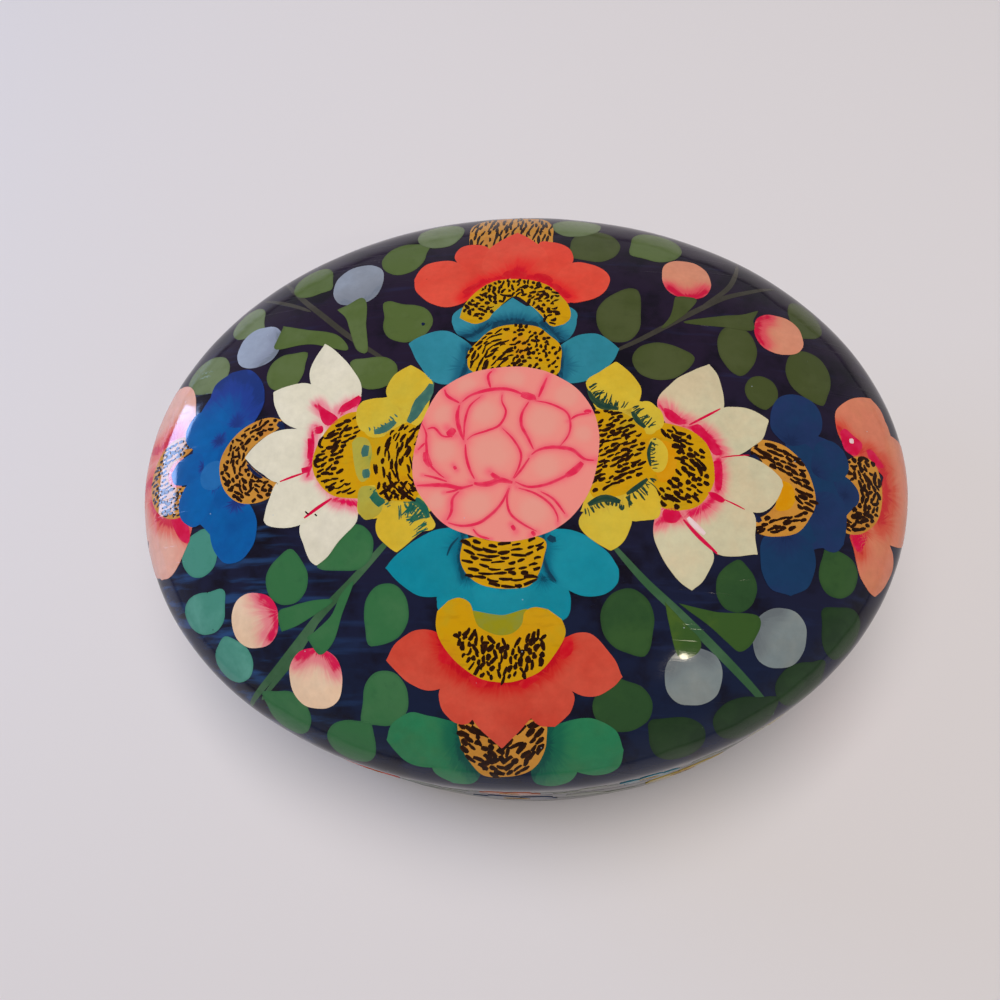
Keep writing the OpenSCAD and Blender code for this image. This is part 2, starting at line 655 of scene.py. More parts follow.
@dataclass(frozen=True)
class Dashes:
    """Rows of short dark dashes over a gold shape.

    Fields:
        region: outline that they keep to.
        heading: their direction in degrees; round a bow point, how far they turn off its circles.
        size: usual length and width.
        pitch: steps along a row and from row to row.
        bow: point that the rows run round, or None where they are straight.
        seed: start of the random draws.
        stray: how far they stray from their direction, in radians.
        margin: how far they stay inside the region.
        crowding: how close they really are, as a share of the pitch.
        shake: how far each place is shaken, as a share of the pitch.
        missed: share of the places that the brush left out.
        lengths, widths: smallest and largest share of the usual length and width.
        bend: how far they are bowed, in millimetres.
    """

    region: tuple[Point, ...]
    heading: float
    size: Point = (1.2, 0.5)
    pitch: Point = (1.35, 0.8)
    bow: Point | None = None
    seed: int = 1
    stray: float = 0.2
    margin: float = 0.3
    crowding: float = 0.88
    shake: float = 0.13
    missed: float = 0.05
    lengths: Point = (0.7, 1.6)
    widths: Point = (0.7, 1.3)
    bend: float = 0.1

    def paint(self, paint: Paint, layer: float) -> None:
        """Sets the dashes down.

        A lattice of rows and steps, every second row shifted by half a step and each place shaken a
        little, is cut to the region.
        """
        rng = np.random.default_rng(self.seed)
        pitch = np.multiply(self.pitch, self.crowding)
        edge = smooth_curve(self.region, True, 0.5, 24)
        middle = edge.mean(0)
        span = np.linalg.norm(edge - middle, axis=1).max()
        aim = np.radians(self.heading)
        if self.bow is None:
            along = np.arange(-span, span, pitch[0])
            across = np.arange(-span, span, pitch[1])
            step, row = np.meshgrid(along, np.arange(len(across)))
            step = step + (row % 2) * pitch[0] / 2
            rise = across[row]
            spots = middle + step[..., None] * unit(aim) + rise[..., None] * left_of(unit(aim))
            spots = spots.reshape(-1, 2)
            heading = np.full(len(spots), aim)
        else:
            far = np.linalg.norm(edge - self.bow, axis=1).max()
            radii = np.arange(pitch[1] / 2, far, pitch[1])
            count = np.maximum(4, 2 * np.pi * radii / pitch[0]).astype(int)
            turns = [np.arange(n) / n * 2 * np.pi + 0.37 * k for k, n in enumerate(count)]
            radius, turn = np.repeat(radii, count), np.concatenate(turns)
            spots = self.bow + radius[:, None] * unit(turn)
            heading = turn + np.pi / 2 + aim
        spots = spots + rng.normal(0, self.shake, spots.shape) * pitch
        keep = inside(spots, edge) & (edge_distance(spots, np.concatenate([edge, edge[:1]])) > self.margin)
        keep &= rng.random(len(spots)) > self.missed
        spots, heading = spots[keep], heading[keep] + rng.normal(0, self.stray, keep.sum())
        length = self.size[0] * rng.uniform(*self.lengths, len(spots))
        width = self.size[1] * rng.uniform(*self.widths, len(spots))
        paint.dabs(spots, heading, length, width, rng.normal(0, self.bend, len(spots)), layer)


@dataclass(frozen=True)
class Fringe:
    """A shaded line with fine strokes that stand out from one of its sides, as lashes do.

    Fields:
        points: places along the line.
        width: its widest width, or 0 for the strokes alone.
        lash: usual length of the strokes; a negative length sets them on the line's right side.
        pitch: step from stroke to stroke.
        seed: start of the random draws.
        splay: how far they stray from straight out, in radians.
        lengths: smallest and largest share of the usual length.
        widths: smallest and largest width of a stroke.
        bend: how far they are bowed, in millimetres.
    """

    points: tuple[Point, ...]
    width: float = 1.0
    lash: float = 1.5
    pitch: float = 0.42
    seed: int = 1
    splay: float = 0.22
    lengths: Point = (0.5, 1.3)
    widths: Point = (0.14, 0.3)
    bend: float = 0.08

    def paint(self, paint: Paint, layer: float) -> None:
        """Draws the line and its strokes."""
        rng = np.random.default_rng(self.seed)
        if self.width:
            paint.stroke(self.points, self.width, layer, 0.55)
        if not self.lash:
            return
        line = smooth_curve(self.points, False, self.pitch, 3)
        run = np.gradient(line, axis=0)
        heading = np.arctan2(run[:, 1], run[:, 0]) + np.pi / 2 + rng.normal(0, self.splay, len(line))
        length = abs(self.lash) * rng.uniform(*self.lengths, len(line))
        way = np.sign(self.lash) * unit(heading)
        spots = line + way * (length * 0.5 + self.width * 0.2)[:, None]
        width = rng.uniform(*self.widths, len(line))
        paint.dabs(spots, heading, length, width, rng.normal(0, self.bend, len(line)), layer + 0.02)


def shade(code: str) -> tuple[float, float, float, float]:
    """Linear colour of a hexadecimal screen colour, by the usual screen curve."""
    parts = np.array([int(code[k : k + 2], 16) for k in (1, 3, 5)]) / 255
    linear = np.where(parts <= 0.04045, parts / 12.92, ((parts + 0.055) / 1.055) ** 2.4)
    return (*(float(v) for v in linear), 1.0)


Socket = bpy.types.NodeSocket


class Bench:
    """Shader nodes of one finish, set out and joined."""

    def __init__(self, name: str) -> None:
        """Starts a material with one Principled shader."""
        self.material = bpy.data.materials.new(name)
        self.material.use_nodes = True
        self.tree = self.material.node_tree
        self.shader = self.tree.nodes["Principled BSDF"]

    def node(
        self, kind: str, inputs: dict[str | int, object] | None = None, **settings: object
    ) -> bpy.types.Node:
        """Adds a node.

        Args:
            kind: its type's name without the ShaderNode in front.
            inputs: sockets to join or values to set, by input name or number.
            settings: the node's own settings.
        Returns:
            The node.
        """
        node = self.tree.nodes.new("ShaderNode" + kind)
        for name, value in settings.items():
            setattr(node, name, value)
        for name, value in (inputs or {}).items():
            self.join(value, node.inputs[name])
        return node

    def join(self, value: object, target: Socket) -> None:
        """Joins a socket to an input, or sets the input's value."""
        if isinstance(value, Socket):
            self.tree.links.new(value, target)
        else:
            target.default_value = value

    def mark(self, name: str) -> Socket:
        """Value of a mark that the mesh carries."""
        return self.node("Attribute", attribute_name=name).outputs["Fac"]

    def place(self) -> Socket:
        """The point's place on the object, in metres."""
        return self.node("TexCoord").outputs["Object"]

    def stretched(self, turn: Sequence[float], scale: Sequence[float]) -> Socket:
        """The point's place, turned by degrees and scaled along each axis."""
        angles = [float(np.radians(v)) for v in turn]
        inputs = {"Vector": self.place(), "Rotation": angles, "Scale": list(scale)}
        return self.node("Mapping", inputs).outputs["Vector"]

    def math(self, operation: str, a: object, b: object) -> Socket:
        """Joins two values by one operation."""
        return self.node("Math", {0: a, 1: b}, operation=operation).outputs[0]

    def times(self, a: object, b: object) -> Socket:
        """Product of two values."""
        return self.math("MULTIPLY", a, b)

    def plus(self, a: object, b: object) -> Socket:
        """Sum of two values."""
        return self.math("ADD", a, b)

    def swing(self, noise: Socket, most: float) -> Socket:
        """A noise that swings to both sides of nought: (noise - 0.5) * most."""
        return self.times(self.math("SUBTRACT", noise, 0.5), most)

    def noise(self, vector: Socket, scale: float, detail: float = 2.0, rough: float = 0.5) -> Socket:
        """Soft noise between 0 and 1."""
        inputs = {"Vector": vector, "Scale": scale, "Detail": detail, "Roughness": rough}
        return self.node("TexNoise", inputs).outputs["Fac"]

    def ease(self, value: Socket, start: object, end: object) -> Socket:
        """Smooth step from 0 at the start to 1 at the end, or the other way where the start is larger."""
        inputs = {"Value": value, "From Min": start, "From Max": end}
        return self.node("MapRange", inputs, interpolation_type="SMOOTHSTEP").outputs["Result"]

    def vector(self, x: object, y: object, z: object) -> Socket:
        """Vector of three values."""
        return self.node("CombineXYZ", {"X": x, "Y": y, "Z": z}).outputs["Vector"]

    def mix(self, share: object, a: object, b: object, mode: str = "MIX") -> Socket:
        """Mixes two colours by a share."""
        node = self.node("Mix", {0: share, 6: a, 7: b}, data_type="RGBA", blend_type=mode)
        return node.outputs[2]

    def tint(self, colour: object, where: Socket, most: float, code: str) -> Socket:
        """Leans a colour to another one where a value is high, by the given share at most."""
        return self.mix(self.times(where, most), colour, shade(code))

    def bump(
        self, height: Socket, distance: float, strength: float, normal: Socket | None = None
    ) -> Socket:
        """Normal of a relief, its depth in metres."""
        inputs = {"Height": height, "Distance": distance, "Strength": strength}
        if normal is not None:
            inputs["Normal"] = normal
        return self.node("Bump", inputs).outputs["Normal"]


@dataclass(frozen=True)
class Specks:
    """Tiny scattered specks: one in some cells of a Voronoi pattern.

    Fields:
        colour: their colour.
        scale: cells in a metre.
        channel: which of a cell's random numbers picks it.
        clean: share of the cells without one.
        size: radius, as a share of a cell.
        most: how strongly they cover.
        soft: width of both soft steps.
    """

    colour: str
    scale: float
    channel: int
    clean: float
    size: float
    most: float
    soft: float = 0.02

    def lay(self, bench: Bench, place: Socket, under: Socket) -> Socket:
        """Lays the specks over a colour."""
        cells = bench.node("TexVoronoi", {"Vector": place, "Scale": self.scale})
        number = bench.node("SeparateColor", {0: cells.outputs["Color"]}).outputs[self.channel]
        picked = bench.ease(number, self.clean, self.clean + self.soft)
        near = bench.ease(cells.outputs["Distance"], self.size, self.size - self.soft)
        return bench.tint(under, bench.times(near, picked), self.most, self.colour)


@dataclass(frozen=True)
class Lacquer:
    """Clear gloss over the paint: slow ripples, fine scratches, trapped dust and small chips."""

    coat: float = 0.8
    coat_roughness: float = 0.08
    base_roughness: float = 0.6
    dust: Specks = Specks("#aeb9c8", 380.0, 0, 0.72, 0.045, 0.55)
    chips: Specks = Specks("#1a0f10", 210.0, 1, 0.80, 0.035, 0.75)

    def seal(self, bench: Bench, colour: Socket, relief: Socket | None = None) -> bpy.types.Material:
        """Puts the gloss over a colour and finishes the material.

        Args:
            bench: the finish's nodes.
            colour: its colour.
            relief: height of its brush marks, or None.
        Returns:
            The material.
        """
        place = bench.place()
        for specks in (self.dust, self.chips):
            colour = specks.lay(bench, place, colour)
        bench.join(colour, bench.shader.inputs["Base Color"])
        ripple = bench.noise(place, 110.0, 2.0)
        peel = bench.noise(place, 620.0, 1.0)
        surface = bench.plus(bench.times(ripple, 9.0), bench.times(peel, 0.25))
        normal = bench.bump(surface, 0.00004, 0.5)
        for turn in (24.0, -51.0):
            lines = bench.noise(bench.stretched((0, 0, turn), (50.0, 2600.0, 50.0)), 1.0, 1.0)
            normal = bench.bump(bench.ease(lines, 0.66, 0.74), 0.000012, 0.6, normal)
        bench.join(normal, bench.shader.inputs["Coat Normal"])
        if relief is not None:
            bench.join(bench.bump(relief, 0.00005, 0.4), bench.shader.inputs["Normal"])
        for name, value in {
            "Roughness": self.base_roughness,
            "Specular IOR Level": 0.0,
            "Coat Weight": self.coat,
            "Coat Roughness": self.coat_roughness,
            "Coat IOR": 1.5,
        }.items():
            bench.shader.inputs[name].default_value = value
        return bench.material


GLOSS = Lacquer()


@dataclass(frozen=True)
class GroundColour:
    """The dark ground: near-black violet to the back and deep navy to the front, with painted reflection
    streaks on the front left.
    """

    back: str = "#241a2e"
    front: str = "#17203a"
    deep: str = "#14111c"
    brushed: str = "#2f3f6e"
    # Painted reflection: the blue of the window's light mirrored in the lacquer on the front left
    window_sheen: str = "#2c5a94"

    def material(self, name: str) -> bpy.types.Material:
        """Builds the finish."""
        bench = Bench(name)
        place = bench.place()
        parts = bench.node("SeparateXYZ", {0: place}).outputs
        side, along = parts["X"], parts["Y"]
        drift = bench.times(bench.noise(place, 40.0), 0.03)
        front = bench.ease(bench.plus(along, drift), 0.035, -0.025)
        colour = bench.mix(front, shade(self.back), shade(self.front))
        cloud = bench.noise(place, 130.0, 4.0, 0.6)
        colour = bench.mix(bench.ease(cloud, 0.42, 0.68), colour, shade(self.deep))
        brush = bench.noise(bench.stretched((0, 0, 35), (90.0, 900.0, 300.0)), 1.0, 3.0)
        lighter = bench.mix(0.5, colour, shade(self.brushed))
        colour = bench.mix(bench.times(bench.ease(brush, 0.55, 0.8), 0.35), colour, lighter)
        # Painted reflection: pale blue brush streaks on the front left stand for the window's light in the
        # lacquer
        window_sheen = bench.times(bench.ease(side, -0.012, -0.042), front)
        streaks = bench.times(bench.ease(brush, 0.46, 0.7), bench.times(window_sheen, 0.6))
        colour = bench.mix(streaks, colour, shade(self.window_sheen))
        return GLOSS.seal(bench, colour, brush)


@dataclass(frozen=True)
class PetalColour:
    """Opaque petal colour with a darker flush that spreads in streaks from the root.

    Fields:
        body: the petal's own colour.
        warm: a second tone that it drifts to.
        glow: the soft colour round the root.
        root: the strong colour at the root.
        flush: reach of the root colour, as a share of the petal's length.
        halo: reach of the soft colour.
        streak: how ragged both are.
        edge: colour that the outer edge leans to.
    """

    body: str
    warm: str
    glow: str
    root: str
    flush: float = 0.12
    halo: float = 0.4
    streak: float = 0.3
    edge: str = ""

    def material(self, name: str) -> bpy.types.Material:
        """Builds the finish."""
        bench = Bench(name)
        reach, fan, tone = bench.mark("reach"), bench.mark("fan"), bench.mark("tone")
        shift = bench.times(tone, 37.0)
        rays = bench.vector(bench.times(fan, 26.0), bench.times(reach, 1.6), shift)
        ray = bench.noise(rays, 1.0, 3.0, 0.6)
        bristle = bench.noise(bench.place(), 700.0, 3.0, 0.65)
        ragged = bench.swing(ray, self.streak * 2)
        far = bench.plus(reach, ragged)
        patch = bench.noise(bench.place(), 170.0, 4.0, 0.6)
        drift = bench.ease(bench.plus(patch, bench.times(tone, 0.2)), 0.4, 0.8)
        colour = bench.mix(drift, shade(self.body), shade(self.warm))
        cloud = bench.noise(bench.place(), 95.0, 2.0)
        mottle = bench.plus(bench.times(bristle, 0.3), bench.times(cloud, 0.24))
        brushed = bench.plus(mottle, 0.73)
        colour = bench.mix(1.0, colour, bench.vector(brushed, brushed, brushed), "MULTIPLY")
        if self.edge:
            rim = bench.plus(bench.mark("rim"), bench.swing(ray, 0.3))
            colour = bench.tint(colour, bench.ease(rim, 0.82, 1.05), 0.6, self.edge)
        colour = bench.mix(bench.ease(far, self.halo, self.flush), colour, shade(self.glow))
        colour = bench.mix(bench.ease(far, self.flush * 1.25, self.flush * 0.7), colour, shade(self.root))
        fibre = bench.plus(bench.times(ray, 1.3), bench.times(bristle, 0.7))
        spread = bench.times(bench.mark("stain"), fibre)
        colour = bench.mix(bench.ease(spread, 0.08, 0.5), colour, shade(self.glow))
        colour = bench.mix(bench.ease(spread, 0.5, 0.86), colour, shade(self.root))
        return GLOSS.seal(bench, colour, bristle)


@dataclass(frozen=True)
class LeafColour:
    """Green leaf paint, thin enough to cloud, a little darker at its edge."""

    body: str
    light: str
    dark: str

    def material(self, name: str) -> bpy.types.Material:
        """Builds the finish."""
        bench = Bench(name)
        tone, place = bench.mark("tone"), bench.place()
        cloud = bench.noise(place, 210.0, 3.0, 0.6)
        thin = bench.ease(bench.plus(cloud, bench.times(tone, 0.25)), 0.5, 0.85)
        colour = bench.mix(thin, shade(self.body), shade(self.light))
        brush = bench.noise(place, 520.0, 3.0, 0.65)
        colour = bench.tint(colour, bench.ease(brush, 0.5, 0.8), 0.3, self.dark)
        rim = bench.ease(bench.mark("rim"), 0.86, 1.0)
        colour = bench.tint(colour, rim, 0.3, self.dark)
        return GLOSS.seal(bench, colour, brush)


@dataclass(frozen=True)
class GoldColour:
    """Ochre gold, strong in the middle and greener where it is thin."""

    body: str = "#c8960a"
    green: str = "#b59a20"
    amber: str = "#c68614"
    deep: str = "#8a5c10"

    def material(self, name: str) -> bpy.types.Material:
        """Builds the finish."""
        bench = Bench(name)
        place = bench.place()
        cloud = bench.noise(place, 160.0, 3.0, 0.6)
        colour = bench.mix(bench.ease(cloud, 0.5, 0.75), shade(self.body), shade(self.green))
        second = bench.noise(bench.stretched((0, 0, 70), (230.0, 230.0, 230.0)), 1.0, 3.0)
        colour = bench.mix(bench.ease(second, 0.55, 0.8), colour, shade(self.amber))
        brush = bench.noise(bench.stretched((0, 0, 20), (500.0, 1500.0, 500.0)), 1.0, 2.0)
        colour = bench.tint(colour, bench.ease(brush, 0.5, 0.8), 0.25, self.deep)
        return GLOSS.seal(bench, colour, brush)


@dataclass(frozen=True)
class LineColour:
    """Thin colour of drawn lines and dashes, deeper where the brush left more."""

    body: str
    thin: str

    def material(self, name: str) -> bpy.types.Material:
        """Builds the finish."""
        bench = Bench(name)
        pool = bench.noise(bench.place(), 900.0, 2.0)
        thin = bench.times(bench.mark("rim"), bench.ease(pool, 0.35, 0.7))
        colour = bench.tint(shade(self.body), thin, 0.7, self.thin)
        return GLOSS.seal(bench, colour, pool)


@dataclass(frozen=True)
class RoseColour:
    """Rose pink with a crimson stain that fades away from the drawn lines."""

    body: str = "#e78b83"
    pale: str = "#e2968a"
    blush: str = "#ea6474"
    line: str = "#e03858"

    def material(self, name: str) -> bpy.types.Material:
        """Builds the finish."""
        bench = Bench(name)
        place = bench.place()
        stain, heart = bench.mark("stain"), bench.mark("heart")
        cloud = bench.noise(place, 200.0, 4.0, 0.6)
        mottled = bench.plus(heart, bench.swing(cloud, 0.5))
        colour = bench.mix(bench.ease(mottled, 0.35, 0.9), shade(self.body), shade(self.pale))
        ragged = bench.plus(stain, bench.swing(cloud, 0.35))
        colour = bench.tint(colour, bench.ease(ragged, 0.12, 0.85), 0.85, self.blush)
        colour = bench.tint(colour, bench.ease(ragged, 0.75, 1.2), 0.6, self.line)
        return GLOSS.seal(bench, colour, cloud)


@dataclass(frozen=True)
class InsideColour:
    """Plain dark lacquer of the inside and underside, brushed on and worn in use."""

    body: str = "#17131a"
    worn: str = "#3a2d27"
    wear: float = 0.25
    brushed: str = "#2a2430"

    def material(self, name: str) -> bpy.types.Material:
        """Builds the finish."""
        bench = Bench(name)
        place = bench.place()
        cloud = bench.noise(place, 90.0, 5.0, 0.65)
        brush = bench.noise(bench.stretched((0, 0, 12), (60.0, 1100.0, 60.0)), 1.0, 3.0)
        colour = bench.tint(shade(self.body), bench.ease(cloud, 0.55, 0.8), self.wear, self.worn)
        colour = bench.tint(colour, bench.ease(brush, 0.5, 0.8), 0.3, self.brushed)
        bench.join(colour, bench.shader.inputs["Base Color"])
        bench.join(bench.bump(bench.plus(brush, cloud), 0.00006, 0.5), bench.shader.inputs["Normal"])
        for name, value in {"Roughness": 0.42, "Coat Weight": 0.35, "Coat Roughness": 0.25}.items():
            bench.shader.inputs[name].default_value = value
        return bench.material


# The finish of the outside and that of the lining
Coats = tuple[bpy.types.Material, bpy.types.Material]


def stand_in(
    node: str, name: str, body: Body, slot: Slot, material: bpy.types.Material, grid: np.ndarray,
    poles: np.ndarray | None = None
) -> bpy.types.Object:
    """Makes the skin that stands for one CAD node.

    Args:
        node: the CAD node.
        name: the skin's name.
        body, slot: what it rides on, and its slot, which is handed on.
        material: its finish.
        grid: rows of points in metres, shape (rows, cols, 3).
        poles: its first and its last point, or None for a ring.
    Returns:
        The new object.
    """
    points = grid.reshape(-1, 3)
    if poles is not None:
        points = np.concatenate([poles[:1], points, poles[1:]])
    shells = Shells()
    shells.add(points[None], len(grid), grid.shape[1], poles is not None, {})
    return shells.make(name, body, slot, material, [node])


def node_points(node: str) -> np.ndarray:
    """Points of a CAD node, in millimetres."""
    return np.array([v.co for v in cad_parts[node].data.vertices]) / MM


def thickness(node: str) -> float:
    """Wall thickness of a ring-shaped node, in millimetres, on the long axis."""
    spots = node_points(node)
    near = np.abs(spots[:, 1]) < 0.5
    return float(spots[near, 0].max() - np.abs(spots[near, 0]).min())


def inner_rise(node: str) -> float:
    """Height of the hollow under a dome, in millimetres: its lowest point near the axis."""
    spots = node_points(node)
    middle = spots[np.linalg.norm(spots[:, :2], axis=1) < 2.0, 2]
    return float(middle.min() - spots[:, 2].min())


@dataclass
class LidSkin:
    """The lid's two skins: the dome with its inside, and the straight band.

    Fields:
        oval: the form.
        around: steps round the oval.
        down: steps from the top to the rim.
        seam_r: radius of the sanded edge at the seam.
    """

    oval: OvalBody
    around: int = 400
    down: int = 110
    seam_r: float = 0.5

    def build(self, outside: bpy.types.Material, lining: bpy.types.Material) -> None:
        """Builds the dome and the band."""
        ways = round_ways(self.around)
        self.crown(ways, (outside, lining))
        self.band(ways, (outside, lining))

    def crown(self, ways: np.ndarray, coats: Coats) -> None:
        """Builds the dome: its outside from the top to the rim, and its inside back up.

        Both are quarter ovals at even angles, so the rows crowd where the dome turns down.
        """
        oval = self.oval
        angle = np.arange(1, self.down + 1) / self.down * np.pi / 2
        run = oval.run(angle[:, None], oval.reach(ways)[None])
        outer = oval.lay(run[..., None] * ways, 0.0)
        hollow = inner_rise("lid_crown")
        wall = oval.rise - hollow
        back = np.linspace(np.pi / 2, 0, 24, endpoint=False)[:, None]
        out = (oval.reach(ways, wall) * np.sin(back))[..., None] * ways
        z = np.broadcast_to((oval.rim_z + hollow * np.cos(back))[..., None], (*out.shape[:2], 1))
        grid = np.concatenate([outer, np.concatenate([out, z], -1) * MM])
        poles = np.array([*oval.lay(np.zeros((1, 2)), 0.0), [0, 0, (oval.rim_z + hollow) * MM]])
        skin = stand_in("lid_crown", "lid_crown_skin", Body.LID, Slot.LID, coats[0], grid, poles)
        middles, _ = face_places(skin)
        shrunk = middles[:, :2] / (oval.half_long - wall / 2, oval.half_wide - wall / 2)
        height = (middles[:, 2] - oval.rim_z) / (oval.rise - wall / 2)
        line_faces(skin, coats[1], (shrunk**2).sum(1) + height**2 < 1)

    def band(self, ways: np.ndarray, coats: Coats) -> None:
        """Builds the band as one closed ring of rows: outside, sanded edge, underside, inside."""
        oval, thick = self.oval, thickness("lid_band")
        drop = oval.rim_z - oval.seam_z
        turn = np.linspace(0, np.pi / 2, 6)
        straight = np.linspace(0, drop - self.seam_r, 10)
        sanded = drop - self.seam_r + self.seam_r * np.sin(turn[1:])
        rows = np.concatenate([straight, sanded])
        lift = np.concatenate([np.zeros(len(straight)), self.seam_r * (np.cos(turn[1:]) - 1)])
        flat = (oval.rim_run(ways) + rows[:, None])[..., None] * ways
        outer = oval.lay(flat, lift[:, None])
        heights = (oval.seam_z, oval.seam_z + 0.4, oval.rim_z - 0.4, oval.rim_z)
        grid = np.concatenate([outer, [oval.ring(ways, thick, z) for z in heights]])
        skin = stand_in("lid_band", "lid_band_skin", Body.LID, Slot.LID, coats[0], grid)
        line_faces(skin, coats[1], faces_inwards(skin))


def face_places(piece: bpy.types.Object) -> tuple[np.ndarray, np.ndarray]:
    """Middles, in millimetres, and normals of a piece's faces."""
    spots = np.array([face.center for face in piece.data.polygons]) / MM
    return spots, np.array([face.normal for face in piece.data.polygons])


def faces_inwards(piece: bpy.types.Object) -> np.ndarray:
    """Which faces of a ring look towards the middle of the box: normal times place, below nought."""
    spots, normals = face_places(piece)
    return (normals[:, :2] * spots[:, :2]).sum(1) < -0.2


def line_faces(piece: bpy.types.Object, lining: bpy.types.Material, chosen: np.ndarray) -> None:
    """Gives the chosen faces of a piece the lining's finish."""
    piece.data.materials.append(lining)
    piece.data.polygons.foreach_set("material_index", chosen.astype(np.int32))


@dataclass
class BaseSkin:
    """The base's wall, floor and collar."""

    oval: OvalBody
    around: int = 400
    seam_r: float = 0.5
    foot_r: float = 2.0

    def build(
        self, outside: bpy.types.Material, lining: bpy.types.Material, board: bpy.types.Material
    ) -> None:
        """Builds the three pieces."""
        ways = round_ways(self.around)
        self.wall(ways, (outside, lining))
        self.floor(ways, lining)
        self.collar(ways, board)

    def wall(self, ways: np.ndarray, coats: Coats) -> None:
        """Builds the wall as a ring: sanded top edge, outside down to the floor board, inside back up."""
        oval = self.oval
        low, high = (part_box("base_wall")[k].z / MM for k in (0, 1))
        thick = thickness("base_wall")
        turn = np.linspace(np.pi / 2, 0, 6)
        top = oval.rim_z - high
        sanded = top + self.seam_r * (1 - np.sin(turn))
        straight = np.linspace(top + 2, oval.rim_z - low, 16)
        rows = np.concatenate([sanded, straight])
        lift = np.concatenate([self.seam_r * (np.cos(turn) - 1), np.zeros(len(straight))])
        flat = (oval.rim_run(ways) + rows[:, None])[..., None] * ways
        outer = oval.lay(flat, lift[:, None])
        inner = [oval.ring(ways, thick, z) for z in (low, low + 0.5, high - 0.5, high)]
        grid = np.concatenate([outer, inner])
        skin = stand_in("base_wall", "base_wall_skin", Body.BASE, Slot.BASE, coats[0], grid)
        line_faces(skin, coats[1], faces_inwards(skin))

    def floor(self, ways: np.ndarray, material: bpy.types.Material) -> None:
        """Builds the floor board: its top, its side with the filed foot, and its underside."""
        oval = self.oval
        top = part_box("base_floor")[1].z / MM
        turn = np.linspace(0, np.pi / 2, 8)
        filed = top - self.foot_r + self.foot_r * np.sin(turn)
        rows = oval.rim_z - top + np.concatenate([[0.0], filed])
        lift = np.concatenate([[0.0], self.foot_r * (np.cos(turn) - 1)])
        flat = (oval.rim_run(ways) + rows[:, None])[..., None] * ways
        side = oval.lay(flat, lift[:, None])
        upper = [oval.ring(ways, inset, top) for inset in (40.0, 34.0, 26.0, 18.0, 12.0, 6.0, 4.0)]
        under = [oval.ring(ways, inset, 0.0) for inset in (4.0, 8.0, 14.0, 22.0, 32.0, 40.0)]
        grid = np.concatenate([upper, side, under])
        poles = np.array([[0, 0, top * MM], [0, 0, 0]])
        stand_in("base_floor", "base_floor_skin", Body.BASE, Slot.BASE, material, grid, poles)

    def collar(self, ways: np.ndarray, material: bpy.types.Material) -> None:
        """Builds the collar: a thin ring with its outer top edge eased."""
        oval = self.oval
        low, high = (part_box("collar")[k].z / MM for k in (0, 1))
        inset = oval.half_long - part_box("collar")[1].x / MM
        thick = thickness("collar")
        ease = 0.6
        turn = np.linspace(0, np.pi / 2, 6)
        rows = [(inset, low), (inset, low + 0.5)]
        rows += [(inset + ease * (1 - np.cos(t)), high - ease + ease * np.sin(t)) for t in turn]
        rows += [(inset + thick - 0.2, high), (inset + thick, high - 0.2), (inset + thick, low + 0.5)]
        rows += [(inset + thick, low)]
        grid = np.array([oval.ring(ways, *row) for row in rows])
        stand_in("collar", "collar_board_skin", Body.BASE, Slot.COLLAR, material, grid)


ROSE_EDGE: tuple[Point, ...] = (
    (-8.8, 8.6), (-5, 10.7), (0.5, 11.5), (4.6, 10.9), (7.5, 9.5), (9.6, 7.9), (11.3, 5.5), (12.2, 3),
    (12.5, 0), (11.9, -4.6), (10.6, -8), (8.3, -10.9), (5, -12.8), (0, -13.8), (-5, -12.8),
    (-8.2, -11.3), (-10.8, -8.4), (-12.4, -5.6), (-12.7, -2), (-11.8, 3), (-10.3, 6.8),
)

